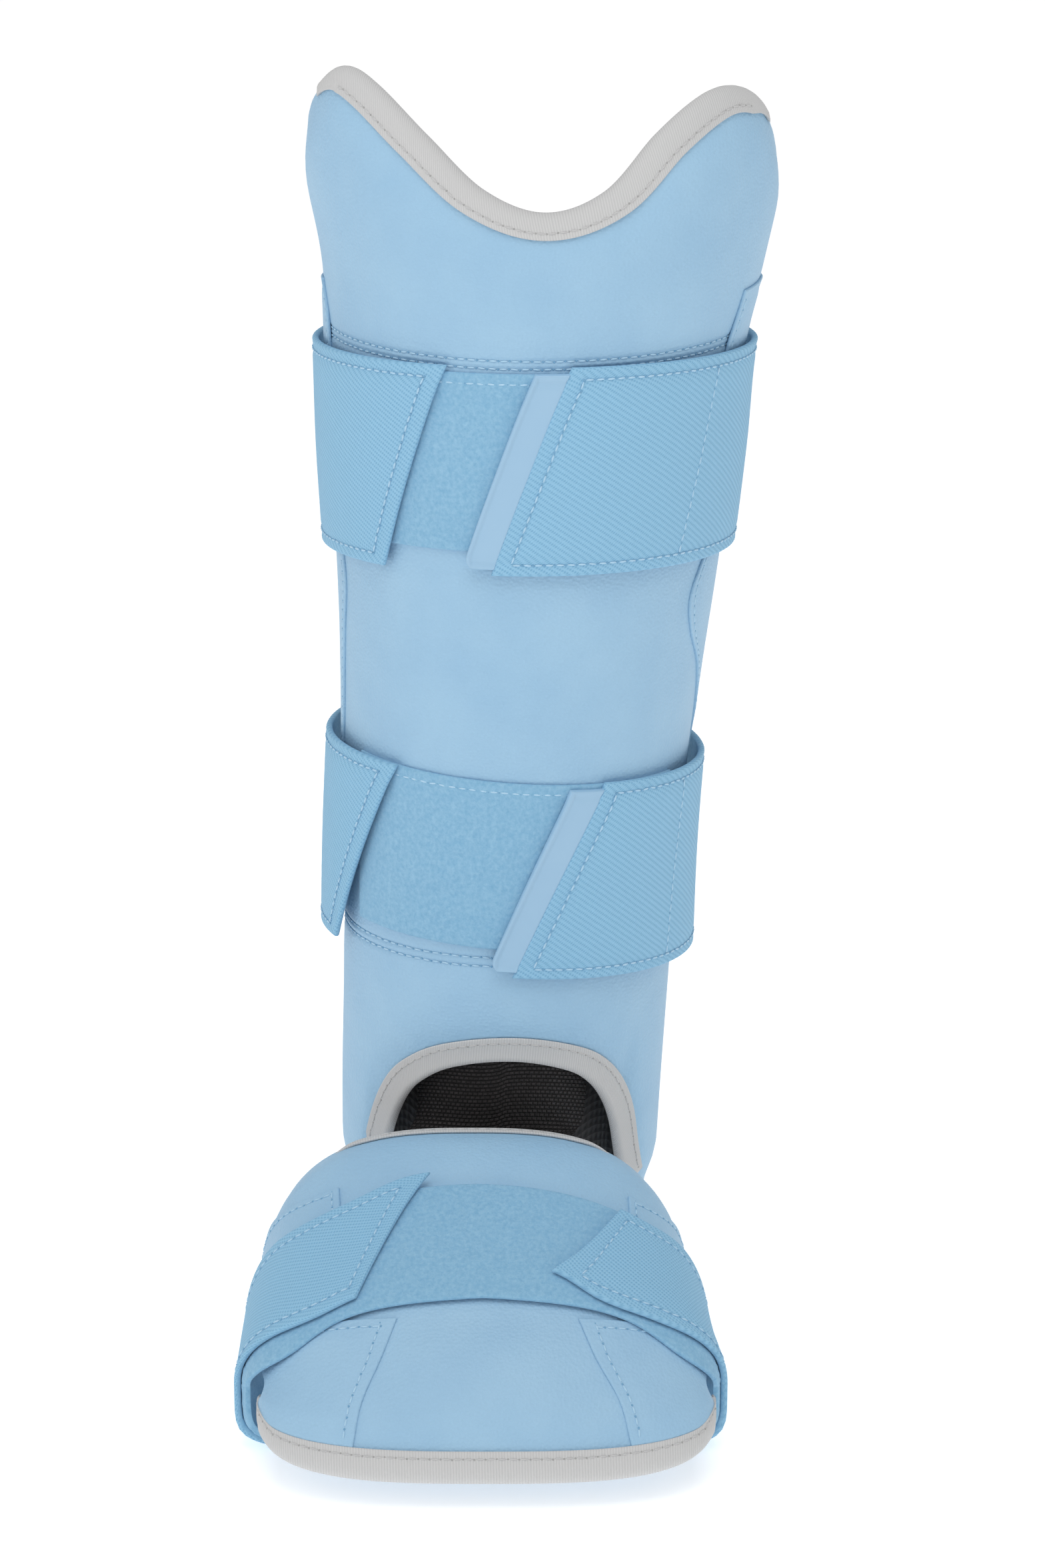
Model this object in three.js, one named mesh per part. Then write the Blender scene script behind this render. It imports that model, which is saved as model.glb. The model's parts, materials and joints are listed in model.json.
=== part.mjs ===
// A batter's leg guard: a padded shin shell, a foot hood that hangs from it on a nylon tongue,
// two calf straps and one sole strap. Millimetres, +Z up, -Y to the front, +X to the viewer's right.
// Heights are measured up from the toe edge. The origin is on the leg's axis, halfway up the shin.
import * as THREE from 'three';
import { mergeVertices } from 'three/addons/utils/BufferGeometryUtils.js';

const { lerp, smoothstep, degToRad } = THREE.MathUtils;

// Driving dimensions of the layers
const SEAT_HEIGHT = 200;
const GAP = 0.3;
const PAD = 9;
const PAD_EDGE = 6;
const PAD_ROLL = 14;
const EDGE_ROWS = [0, 3, 8, PAD_ROLL];
const LINING = 3;
const LINING_CLEAR = 1.2;
const LEATHER = 1.2;
const LOOP_PILE = 1.6;
const STRAP = 2;
const WING_CLEAR = 0.8;
const STRAP_CLEAR = 2.4;
const TONGUE = 1.6;
const TAPE = 1;
const TAPE_CLEAR = 0.6;
const QUILT_DENT = 2;

// Heights on the shin, and half-angles round the leg in degrees from the front
const SHELL_WRAP = 100;
const SHELL_STEP = 5;
const TOP_TAPE = { from: -65, to: 70, width: 5.5 };
const ANKLE_TAPE = { from: -55, to: 60, width: 7.5 };
const QUILTS = [{ height: 115, reach: 8 }, { height: 295.5, reach: 8 }];
const SHIN_ROWS = [164, 205, 246];
const STEEPEST_ROW = 2;
const LINING_FOOT = 40;
const LINING_BELOW_TOP = 15;
const TONGUE_POCKET = { wrap: 66, fadeWrap: 80, height: 120, fadeHeight: 140 };
const WING_BACK = 93;
const LOOP_WRAP = 60;
const TAB_REACH = { low: 0.03, high: 0.97 };

// Sizes of the tongue, and its half-angles on the leg and on the hood
const TONGUE_WRAP = { leg: 43, hood: 20 };
const TONGUE_HEIGHTS = { sewn: 116, leaves: 62, aims: 50 };
const TONGUE_ALONG = { aims: -12, meets: -4, sewn: 32 };

// Sizes of the foot hood
const HOOD_PAD = 8;
const HOOD_EDGE = 5.5;
const HOOD_STEP = 6;
const HOOD_ROWS = [90, 70, 50, 31];
const HOOD_SIDES = { from: 78, to: 90 };
const RIM_TAPE = { wrap: 72, width: 5.5 };
const TOE_TAPE = { wrap: 78, width: 5.5 };
const SOLE_DEPTH = 10;
const SOLE_SQUARENESS = 3.6;
const SOLE_FLATNESS = 1.05;
const BAND_LIFT = 2.1;
const BAND_WRAP = 84;

// Outer face of the shin shell: an ellipse at each height, a little right of the middle at the top
const LEG_SECTIONS = [
  { height: 20, centreX: -7.5, halfWidth: 47.5, frontDepth: 47, backDepth: 46 },
  { height: 60, centreX: -6.5, halfWidth: 48.6, frontDepth: 48.5, backDepth: 48 },
  { height: 100, centreX: -4.8, halfWidth: 49.4, frontDepth: 50.2, backDepth: 52 },
  { height: 140, centreX: -3.6, halfWidth: 50.6, frontDepth: 52.6, backDepth: 57 },
  { height: 185, centreX: -0.9, halfWidth: 52.6, frontDepth: 55.6, backDepth: 61 },
  { height: 225, centreX: 1.5, halfWidth: 55.7, frontDepth: 59, backDepth: 64 },
  { height: 260, centreX: 2.6, halfWidth: 58.9, frontDepth: 61.5, backDepth: 65 },
  { height: 290, centreX: 3.6, halfWidth: 60.9, frontDepth: 63.6, backDepth: 65 },
  { height: 315, centreX: 6, halfWidth: 64.4, frontDepth: 65.6, backDepth: 65 },
  { height: 345, centreX: 6, halfWidth: 70, frontDepth: 67.8, backDepth: 66 },
  { height: 380, centreX: 4, halfWidth: 71.5, frontDepth: 68.5, backDepth: 66 },
];

// Upper edge of the shell: two ears beside a scoop for the knee
const TOP_EDGE = [
  { angle: -100, height: 326 },
  { angle: -92, height: 344 },
  { angle: -80, height: 359 },
  { angle: -65, height: 370 },
  { angle: -55, height: 374.5 },
  { angle: -45, height: 370.9 },
  { angle: -30, height: 357.9 },
  { angle: -16, height: 343.9 },
  { angle: 0, height: 337.6 },
  { angle: 16, height: 343.4 },
  { angle: 30, height: 358.4 },
  { angle: 45, height: 367.7 },
  { angle: 55, height: 369 },
  { angle: 66, height: 365 },
  { angle: 80, height: 353 },
  { angle: 92, height: 340 },
  { angle: 100, height: 324 },
];

// Lower edge of the shell: an arch over the ankle between two rounded corners
const ANKLE_EDGE = [
  { angle: -100, height: 40 },
  { angle: -90, height: 33 },
  { angle: -75, height: 29 },
  { angle: -63, height: 30 },
  { angle: -56, height: 36 },
  { angle: -50, height: 50 },
  { angle: -45, height: 60.5 },
  { angle: -38.7, height: 69.5 },
  { angle: -30, height: 76 },
  { angle: -20, height: 80.3 },
  { angle: 2, height: 83.2 },
  { angle: 22, height: 79.8 },
  { angle: 33, height: 75 },
  { angle: 42.7, height: 66.5 },
  { angle: 49, height: 57 },
  { angle: 54, height: 44.5 },
  { angle: 61, height: 32.5 },
  { angle: 70, height: 28 },
  { angle: 90, height: 30.5 },
  { angle: 100, height: 38 },
];

// Front edges of the two leather wings, as angles from the front
const WING_EDGES = [
  { height: 150, left: 82, right: 89 },
  { height: 175, left: 79, right: 87 },
  { height: 196, left: 77, right: 74 },
  { height: 208, left: 75, right: 63 },
  { height: 220, left: 72, right: 58.5 },
  { height: 236, left: 74, right: 66 },
  { height: 265, left: 74, right: 65 },
  { height: 293, left: 75, right: 62.5 },
  { height: 302, left: 77, right: 64 },
  { height: 310, left: 82, right: 65 },
];

// Calf straps: heights at the front, how far the sides and back hang lower, the roll from left to right,
// how far the sides stand off, and the angles of the two slanted ends and of the pull tab's free edge
const CALF_STRAPS = [
  {
    name: 'lower', low: 111, high: 171.5, drop: 2, roll: -3.5, standOff: 1, loopLow: 119, loopHigh: 171,
    leftTop: -39.6, leftLow: -67.8, rightTop: 28.7, rightLow: 1.5, tabTop: 17.9, tabLow: -7.1,
  },
  {
    name: 'upper', low: 234.5, high: 295.5, drop: 4, roll: 0, standOff: 0, loopLow: 241, loopHigh: 293.5,
    leftTop: -23.6, leftLow: -43.9, rightTop: 8.9, rightLow: -10.6, tabTop: 0.2, tabLow: -19.3,
  },
];

// Foot hood: arches from the ankle rim to the toe edge, each from its crown down to its two feet
const HOOD_ARCHES = [
  { along: 0, crownY: -55, crownZ: 67.3, footY: -46, footZ: 8, centreX: -15, halfWidth: 62.5, square: 2.8 },
  { along: 10, crownY: -65, crownZ: 66, footY: -57, footZ: 7, centreX: -14.5, halfWidth: 63, square: 2.8 },
  { along: 31, crownY: -85, crownZ: 58.4, footY: -79, footZ: 5.5, centreX: -13.5, halfWidth: 63.5, square: 2.7 },
  { along: 55, crownY: -106, crownZ: 48.5, footY: -101, footZ: 6, centreX: -12.5, halfWidth: 64, square: 2.6 },
  { along: 78, crownY: -126, crownZ: 37.5, footY: -116, footZ: 9, centreX: -11, halfWidth: 64.5, square: 2.6 },
  { along: 101, crownY: -145, crownZ: 22.5, footY: -122, footZ: 11.5, centreX: -10.5, halfWidth: 64.5, square: 2.7 },
  { along: 124, crownY: -162.5, crownZ: 3.2, footY: -127, footZ: 12, centreX: -10, halfWidth: 65.5, square: 3.3 },
];
const TOE = HOOD_ARCHES.at(-1).along;

// Loop band over the hood and the sole strap that closes on it, as distances along the hood
const BAND_EDGES = [
  { across: 0, rear: 32, front: 75.5 },
  { across: 33, rear: 35.5, front: 80 },
  { across: 55, rear: 36, front: 88 },
  { across: 72, rear: 36, front: 89 },
  { across: 80, rear: 36, front: 82 },
  { across: 90, rear: 36, front: 74 },
];
const SOLE_STRAP_EDGES = [
  { turn: -180, rear: 34, front: 80 },
  { turn: -90, rear: 33, front: 80 },
  { turn: -60, rear: 34, front: 79.5 },
  { turn: -41, rear: 37, front: 78.3 },
  { turn: -27, rear: 36, front: 74.2 },
  { turn: -7, rear: 29, front: 68 },
  { turn: 12, rear: 32, front: 66.9 },
  { turn: 24, rear: 35, front: 75.3 },
  { turn: 41, rear: 37, front: 79 },
  { turn: 60, rear: 34, front: 80 },
  { turn: 90, rear: 33, front: 80 },
  { turn: 180, rear: 34, front: 80 },
];
const SOLE_STRAP_ENDS = { leftRear: -6.6, leftFront: -27.3, rightRear: 32.5, rightFront: 12.4 };
const SOLE_STRAP_SIDES = { standOff: 0.6, from: 45, to: 90 };
const SOLE_STRAP_TURNS = [100, 112, 125, 138, 152, 166];

// Leather patches on the hood: the inner edge at each distance along, and the rear pair's upper edge
const FRONT_PATCH_EDGES = [
  { along: 76, left: 15, right: 17 },
  { along: 92, left: 20.5, right: 22.6 },
  { along: 106, left: 25.5, right: 29 },
  { along: 116, left: 26, right: 30 },
];
const FRONT_PATCH = { from: 80.5, to: TOE - TOE_TAPE.width - TAPE_CLEAR, outer: 80 };
const REAR_PATCH = { inner: { left: 31.5, right: 38 }, outer: 84, innerEdge: 24.5, outerEdge: 8, to: 42 };

// Colours taken from the photo, with each material's finish
const FINISHES = {
  leather: { color: 0x9dc0d8, roughness: 0.55, metalness: 0 },
  strap: { color: 0x86b3d0, roughness: 0.85, metalness: 0 },
  loop: { color: 0x86b3d0, roughness: 0.95, metalness: 0 },
  tab: { color: 0x9ec0d7, roughness: 0.4, metalness: 0 },
  tape: { color: 0xc2c2c2, roughness: 0.8, metalness: 0 },
  nylon: { color: 0x1f1c1d, roughness: 0.85, metalness: 0 },
};

// Value of a table's column at any place, on a smooth curve through its rows and straight on past its ends
function readTable(rows, key, column, at) {
  const last = rows.length - 2;
  let i = 0;
  while (i < last && at > rows[i + 1][key]) i += 1;
  const slope = (row) => (rows[row + 1][column] - rows[row][column]) / (rows[row + 1][key] - rows[row][key]);
  const span = rows[i + 1][key] - rows[i][key];
  const t = (at - rows[i][key]) / span;
  const slopeIn = i > 0 ? (slope(i - 1) + slope(i)) / 2 : slope(i);
  const slopeOut = i < last ? (slope(i) + slope(i + 1)) / 2 : slope(i);
  if (t <= 0) return rows[i][column] + slopeIn * span * t;
  if (t >= 1) return rows[i + 1][column] + slopeOut * span * (t - 1);
  const straight = lerp(rows[i][column], rows[i + 1][column], t);
  const bendIn = (slopeIn - slope(i)) * span;
  const bendOut = (slopeOut - slope(i)) * span;
  return straight + t * (1 - t) * (bendIn * (1 - t) - bendOut * t);
}

// Numbers from one value to another in equal steps
function steps(from, to, count) {
  return Array.from({ length: count + 1 }, (_, i) => lerp(from, to, i / count));
}

// A closed solid bent from a box: columns and rows list its stations, and place puts each corner
// of the grid on its inner face (side 0) or its outer face (side 1)
function bentSlab(columns, rows, place) {
  const box = new THREE.BoxGeometry(1, 1, 1, columns.length - 1, rows.length - 1, 1);
  const at = box.getAttribute('position');
  for (let i = 0; i < at.count; i += 1) {
    const column = columns[Math.round((at.getX(i) + 0.5) * (columns.length - 1))];
    const row = rows[Math.round((at.getY(i) + 0.5) * (rows.length - 1))];
    const point = place(column, row, Math.round(at.getZ(i) + 0.5));
    at.setXYZ(i, point.x, point.y, point.z);
  }
  box.deleteAttribute('normal');
  box.deleteAttribute('uv');
  const slab = mergeVertices(box);
  slab.computeVertexNormals();
  return slab;
}

// Point on the leg's form, a stated lift outside the shell's face
function legPoint(angle, height, lift) {
  const column = (name) => readTable(LEG_SECTIONS, 'height', name, height);
  const sine = Math.sin(degToRad(angle));
  const cosine = Math.cos(degToRad(angle));
  const halfWidth = column('halfWidth');
  const depth = lerp(column('backDepth'), column('frontDepth'), smoothstep(cosine, -0.4, 0.4));
  const outward = new THREE.Vector2(sine / halfWidth, -cosine / depth).normalize();
  return new THREE.Vector3(
    column('centreX') + halfWidth * sine + lift * outward.x,
    -depth * cosine + lift * outward.y,
    height,
  );
}

const topEdge = (angle) => readTable(TOP_EDGE, 'angle', 'height', angle);
const ankleEdge = (angle) => readTable(ANKLE_EDGE, 'angle', 'height', angle);

// Distance round the leg that one degree makes at the shell's mean radius
const ARC_PER_DEGREE = degToRad(LEG_SECTIONS[4].halfWidth);

// Rise of an edge for each millimetre round the leg
function edgeSlope(edge, angle) {
  return (edge(angle + 1) - edge(angle - 1)) / (2 * ARC_PER_DEGREE);
}

// Drop of a padded face near an edge, where the wall is sewn thin
function edgeRoll(inset, fullWall, edgeWall) {
  return (edgeWall - fullWall) * (1 - smoothstep(inset, 0, PAD_ROLL));
}

// The same drop anywhere on the shin shell, from its nearest edge
function shinRoll(angle, height) {
  const above = (height - ankleEdge(angle)) / Math.hypot(1, edgeSlope(ankleEdge, angle));
  const below = (topEdge(angle) - height) / Math.hypot(1, edgeSlope(topEdge, angle));
  const beside = (SHELL_WRAP - Math.abs(angle)) * ARC_PER_DEGREE;
  return edgeRoll(Math.min(above, below, beside), PAD, PAD_EDGE);
}

function shinShell() {
  const quiltRows = QUILTS.flatMap(({ height, reach }) => [height - reach, height, height + reach]);
  const edgeRows = (edge, inward) => EDGE_ROWS.map((inset) => (angle) => (
    edge(angle) + inward * inset * Math.min(Math.hypot(1, edgeSlope(edge, angle)), STEEPEST_ROW)
  ));
  const levelRows = [...quiltRows, ...SHIN_ROWS].sort((a, b) => a - b).map((height) => () => height);
  const rows = [...edgeRows(ankleEdge, 1), ...levelRows, ...edgeRows(topEdge, -1).toReversed()];
  const columns = steps(-SHELL_WRAP, SHELL_WRAP, (2 * SHELL_WRAP) / SHELL_STEP);
  return bentSlab(columns, rows, (angle, row, side) => {
    const height = row(angle);
    const quilted = QUILTS.some((quilt) => quilt.height === height);
    const beside = (SHELL_WRAP - Math.abs(angle)) * ARC_PER_DEGREE;
    const dent = quilted ? QUILT_DENT * smoothstep(beside, 0, 2 * PAD_ROLL) : 0;
    return legPoint(angle, height, side ? shinRoll(angle, height) - dent : -PAD);
  });
}

// Share of full depth of the pocket that the lining leaves for the tongue
function tonguePocket(angle, height) {
  const { wrap, fadeWrap, height: full, fadeHeight } = TONGUE_POCKET;
  return (1 - smoothstep(Math.abs(angle), wrap, fadeWrap)) * (1 - smoothstep(height, full, fadeHeight));
}

const POCKET_DEPTH = TAPE + TONGUE + TAPE_CLEAR;
const LINING_WRAP = SHELL_WRAP - 2 * SHELL_STEP;

function shinLining() {
  const columns = steps(-LINING_WRAP, LINING_WRAP, LINING_WRAP / SHELL_STEP);
  const heights = [...steps(LINING_FOOT, TONGUE_POCKET.height, 4), TONGUE_POCKET.fadeHeight, ...SHIN_ROWS];
  return bentSlab(columns, [...heights, QUILTS[1].height, 0], (angle, row, side) => {
    const height = row || topEdge(angle) - LINING_BELOW_TOP;
    const face = -PAD - LINING_CLEAR - POCKET_DEPTH * tonguePocket(angle, height);
    return legPoint(angle, height, side ? face : face - LINING);
  });
}

// Section of a folded edge tape, from its end inside the wall round to its end outside: how far in
// from the edge each fold lies, which face it lies on, and which way its thickness goes there
function tapeFolds(width) {
  const corner = Math.SQRT1_2;
  return [
    { inset: width, outside: false, outInset: 0, outLift: -1 },
    { inset: -TAPE_CLEAR, outside: false, outInset: -corner, outLift: -corner },
    { inset: -TAPE_CLEAR, outside: true, outInset: -corner, outLift: corner },
    { inset: width / 2, outside: true, outInset: 0, outLift: 1 },
    { inset: width, outside: true, outInset: 0, outLift: 1 },
  ];
}

// A tape on the shin shell's upper or lower edge: inward is -1 down from the top, 1 up from the ankle
function shinTape({ from, to, width }, edge, inward) {
  const columns = steps(from, to, (to - from) / SHELL_STEP);
  const folds = inward > 0 ? tapeFolds(width) : tapeFolds(width).toReversed();
  return bentSlab(columns, folds, (angle, fold, side) => {
    const inset = inward * (fold.inset + side * TAPE * fold.outInset);
    const slope = edgeSlope(edge, angle);
    const length = Math.hypot(1, slope);
    const spotAngle = angle - (inset * slope) / length / ARC_PER_DEGREE;
    const spotHeight = edge(angle) + inset / length;
    const face = fold.outside ? shinRoll(spotAngle, spotHeight) + TAPE_CLEAR : -PAD - TAPE_CLEAR;
    return legPoint(spotAngle, spotHeight, face + side * TAPE * fold.outLift);
  });
}

function wing(side) {
  const name = side < 0 ? 'left' : 'right';
  const heights = WING_EDGES.map((row) => row.height);
  const between = heights.slice(1).map((height, i) => (height + heights[i]) / 2);
  const rows = [...heights, ...between].sort((a, b) => a - b);
  const shares = side < 0 ? steps(1, 0, 5) : steps(0, 1, 5);
  return bentSlab(shares, rows, (share, height, face) => {
    const front = readTable(WING_EDGES, 'height', name, height);
    const angle = lerp(front, WING_BACK, share);
    return legPoint(side * angle, height, shinRoll(side * angle, height) + WING_CLEAR + face * LEATHER);
  });
}

function loopPanel(strap) {
  const columns = steps(-LOOP_WRAP, LOOP_WRAP, (2 * LOOP_WRAP) / SHELL_STEP);
  return bentSlab(columns, steps(strap.loopLow, strap.loopHigh, 2), (angle, height, side) => (
    legPoint(angle, height, GAP + side * LOOP_PILE)
  ));
}

// Point on a calf strap: share runs up its width from its lower edge
function calfStrapPoint(strap, angle, share, side) {
  const turn = degToRad(angle);
  const sag = strap.drop * (1 - Math.cos(turn)) - strap.roll * Math.sin(turn);
  const height = lerp(strap.low, strap.high, share) - sag;
  const standOff = strap.standOff * Math.sin(turn) ** 2 * (2 - share);
  return legPoint(angle, height, STRAP_CLEAR + standOff + side * STRAP);
}

function calfStrap(strap) {
  return bentSlab(steps(0, 1, 36), steps(0, 1, 2), (round, share, side) => {
    const start = lerp(strap.rightLow, strap.rightTop, share);
    const end = lerp(strap.leftLow, strap.leftTop, share) + 360;
    return calfStrapPoint(strap, lerp(start, end, round), share, side);
  });
}

// Stiff pull tab on a calf strap's right end
function pullTab(strap) {
  const seam = GAP / ARC_PER_DEGREE;
  return bentSlab(steps(0, 1, 3), steps(TAB_REACH.low, TAB_REACH.high, 6), (round, share, side) => {
    const free = lerp(strap.tabLow, strap.tabTop, share);
    const sewn = lerp(strap.rightLow, strap.rightTop, share) - seam;
    return calfStrapPoint(strap, lerp(free, sewn, round), share, side);
  });
}

// Point on the foot hood's outer face: across is its angle from the crown, along its way to the toe
function hoodFace(across, along) {
  const column = (name) => readTable(HOOD_ARCHES, 'along', name, along);
  const sine = Math.sin(degToRad(across));
  const power = 2 / column('square');
  const rise = Math.max(0, Math.cos(degToRad(across))) ** power;
  return new THREE.Vector3(
    column('centreX') + column('halfWidth') * Math.sign(sine) * Math.abs(sine) ** power,
    lerp(column('footY'), column('crownY'), rise),
    lerp(column('footZ'), column('crownZ'), rise),
  );
}

// Direction straight out of the hood's face, which is sideways at its two feet
function hoodOutward(across, along) {
  const nearby = 0.5;
  const held = THREE.MathUtils.clamp(across, -HOOD_SIDES.from, HOOD_SIDES.from);
  const rightward = hoodFace(held + nearby, along).sub(hoodFace(held - nearby, along));
  const onward = hoodFace(held, along + nearby).sub(hoodFace(held, along - nearby));
  const sideways = new THREE.Vector3(Math.sign(across), 0, 0);
  const share = smoothstep(Math.abs(across), HOOD_SIDES.from, HOOD_SIDES.to);
  return onward.cross(rightward).normalize().lerp(sideways, share).normalize();
}

// Point a stated lift outside the hood's face
function hoodPoint(across, along, lift) {
  return hoodFace(across, along).addScaledVector(hoodOutward(across, along), lift);
}

// Drop of the hood's padded face near its edges
function hoodRoll(across, along) {
  const fromFoot = (90 - Math.abs(across)) * degToRad(readTable(HOOD_ARCHES, 'along', 'halfWidth', along));
  return edgeRoll(Math.min(along, TOE - along, fromFoot), HOOD_PAD, HOOD_EDGE);
}

function footShell() {
  const toeRows = EDGE_ROWS.map((inset) => TOE - inset);
  const rows = [...toeRows, ...HOOD_ROWS, ...EDGE_ROWS.toReversed()];
  return bentSlab(steps(-90, 90, 180 / HOOD_STEP), rows, (across, along, side) => (
    hoodPoint(across, along, side ? hoodRoll(across, along) : -HOOD_PAD)
  ));
}

// A tape on the hood's ankle rim or toe edge: inward is 1 from the rim, -1 from the toe
function hoodTape({ wrap, width }, edge, inward) {
  const columns = steps(-wrap, wrap, (2 * wrap) / HOOD_STEP);
  const folds = inward > 0 ? tapeFolds(width).toReversed() : tapeFolds(width);
  return bentSlab(columns, folds, (across, fold, side) => {
    const inset = fold.inset + side * TAPE * fold.outInset;
    const along = edge + inward * Math.max(inset, 0);
    const face = fold.outside ? hoodRoll(across, along) + TAPE_CLEAR : -HOOD_PAD - TAPE_CLEAR;
    const outward = hoodOutward(across, along);
    const rightward = hoodFace(across + 1, edge).sub(hoodFace(across - 1, edge)).normalize();
    const overEdge = outward.clone().cross(rightward).multiplyScalar(-inward * Math.min(inset, 0));
    return hoodFace(across, along).addScaledVector(outward, face + side * TAPE * fold.outLift).add(overEdge);
  });
}

function frontPatch(side) {
  const name = side < 0 ? 'left' : 'right';
  const shares = side < 0 ? steps(1, 0, 6) : steps(0, 1, 6);
  return bentSlab(shares, steps(FRONT_PATCH.to, FRONT_PATCH.from, 6), (share, along, face) => {
    const inner = readTable(FRONT_PATCH_EDGES, 'along', name, along);
    return hoodPoint(side * lerp(inner, FRONT_PATCH.outer, share), along, GAP + face * LEATHER);
  });
}

function rearPatch(side) {
  const inner = REAR_PATCH.inner[side < 0 ? 'left' : 'right'];
  const shares = side < 0 ? steps(1, 0, 6) : steps(0, 1, 6);
  return bentSlab(shares, steps(1, 0, 4), (share, depth, face) => {
    const edge = lerp(REAR_PATCH.innerEdge, REAR_PATCH.outerEdge, smoothstep(share, 0, 1));
    const across = side * lerp(inner, REAR_PATCH.outer, share);
    return hoodPoint(across, lerp(edge, REAR_PATCH.to, depth), GAP + face * LEATHER);
  });
}

function loopBand() {
  return bentSlab(steps(-BAND_WRAP, BAND_WRAP, (2 * BAND_WRAP) / HOOD_STEP), steps(1, 0, 3), (across, share, side) => {
    const rear = readTable(BAND_EDGES, 'across', 'rear', Math.abs(across));
    const front = readTable(BAND_EDGES, 'across', 'front', Math.abs(across));
    return hoodPoint(across, lerp(rear, front, share), BAND_LIFT + side * LOOP_PILE);
  });
}

// Point on the sole strap: turn is the angle from the hood's crown, past 90 on the way under the sole
function soleStrapPoint(turn, along, side) {
  const { standOff, from, to } = SOLE_STRAP_SIDES;
  const clear = BAND_LIFT + LOOP_PILE + 2 * GAP + standOff * smoothstep(Math.abs(turn), from, to);
  const lift = clear + side * STRAP;
  if (Math.abs(turn) <= 90) return hoodPoint(turn, along, lift);
  const foot = hoodFace(90 * Math.sign(turn), along);
  const centreX = readTable(HOOD_ARCHES, 'along', 'centreX', along);
  const power = 2 / SOLE_SQUARENESS;
  const reach = foot.x - centreX + Math.sign(turn) * lift;
  const depth = foot.z + SOLE_DEPTH - STRAP + side * STRAP;
  const drop = Math.min(1, SOLE_FLATNESS * Math.abs(Math.cos(degToRad(turn))) ** power);
  return new THREE.Vector3(
    centreX + reach * Math.abs(Math.sin(degToRad(turn))) ** power,
    foot.y,
    foot.z - depth * drop,
  );
}

function soleStrap() {
  const onHood = steps(0, 1, 12).slice(0, -1);
  const stations = [
    ...onHood.map((share) => ({ side: 1, share })),
    ...SOLE_STRAP_TURNS.map((turn) => ({ side: 1, turn })),
    ...SOLE_STRAP_TURNS.toReversed().map((turn) => ({ side: -1, turn })),
    ...onHood.toReversed().map((share) => ({ side: -1, share })),
  ];
  const ends = SOLE_STRAP_ENDS;
  return bentSlab(stations, steps(1, 0, 3), (station, share, side) => {
    const start = station.side > 0
      ? lerp(ends.rightRear, ends.rightFront, share)
      : lerp(ends.leftRear, ends.leftFront, share);
    const turn = station.turn ? station.side * station.turn : lerp(start, 90 * station.side, station.share);
    const rear = readTable(SOLE_STRAP_EDGES, 'turn', 'rear', turn);
    const front = readTable(SOLE_STRAP_EDGES, 'turn', 'front', turn);
    return soleStrapPoint(turn, lerp(rear, front, share), side);
  });
}

// Nylon tongue: sewn inside the shell, bent forward at the ankle and sewn under the hood
function ankleTongue() {
  const lifts = {
    leg: -PAD - TAPE - 2 * TAPE_CLEAR,
    hood: -HOOD_PAD - TAPE - 2 * TAPE_CLEAR,
  };
  const rows = [
    ...steps(TONGUE_ALONG.sewn, TONGUE_ALONG.meets, 3).map((along) => ({ along })),
    ...steps(0, 1, 5).slice(1, -1).map((bend) => ({ bend })),
    ...steps(TONGUE_HEIGHTS.leaves, TONGUE_HEIGHTS.sewn, 2).map((height) => ({ height })),
  ];
  return bentSlab(steps(-1, 1, 8), rows, (share, row, side) => {
    const onLeg = (height) => legPoint(share * TONGUE_WRAP.leg, height, lifts.leg - TONGUE * (1 - side));
    const onHood = (along) => hoodPoint(share * TONGUE_WRAP.hood, along, lifts.hood - TONGUE * (1 - side));
    if (row.height) return onLeg(row.height);
    if (row.along) return onHood(row.along);
    return new THREE.CubicBezierCurve3(
      onHood(TONGUE_ALONG.meets),
      onHood(TONGUE_ALONG.aims),
      onLeg(TONGUE_HEIGHTS.aims),
      onLeg(TONGUE_HEIGHTS.leaves),
    ).getPoint(row.bend);
  });
}

function piece(name, finish, geometry) {
  const mesh = new THREE.Mesh(geometry, new THREE.MeshStandardMaterial(FINISHES[finish]));
  mesh.name = name;
  return mesh;
}

// The whole guard, raised so that its origin is halfway up the shin
const guard = new THREE.Group();
guard.position.z = -SEAT_HEIGHT;
guard.add(
  piece('shin_shell', 'leather', shinShell()),
  piece('shin_lining', 'nylon', shinLining()),
  piece('top_binding', 'tape', shinTape(TOP_TAPE, topEdge, -1)),
  piece('ankle_binding', 'tape', shinTape(ANKLE_TAPE, ankleEdge, 1)),
  piece('left_wing', 'leather', wing(-1)),
  piece('right_wing', 'leather', wing(1)),
);
for (const strap of CALF_STRAPS) {
  guard.add(
    piece(`${strap.name}_loop_panel`, 'loop', loopPanel(strap)),
    piece(`${strap.name}_strap`, 'strap', calfStrap(strap)),
    piece(`${strap.name}_pull_tab`, 'tab', pullTab(strap)),
  );
}
guard.add(
  piece('ankle_tongue', 'nylon', ankleTongue()),
  piece('foot_shell', 'leather', footShell()),
  piece('foot_rear_binding', 'tape', hoodTape(RIM_TAPE, 0, 1)),
  piece('toe_binding', 'tape', hoodTape(TOE_TAPE, TOE, -1)),
  piece('foot_front_patch_left', 'leather', frontPatch(-1)),
  piece('foot_front_patch_right', 'leather', frontPatch(1)),
  piece('foot_rear_patch_left', 'leather', rearPatch(-1)),
  piece('foot_rear_patch_right', 'leather', rearPatch(1)),
  piece('foot_loop_band', 'loop', loopBand()),
  piece('sole_strap', 'strap', soleStrap()),
);

const part = new THREE.Group();
part.add(guard);
export default part;
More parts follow.
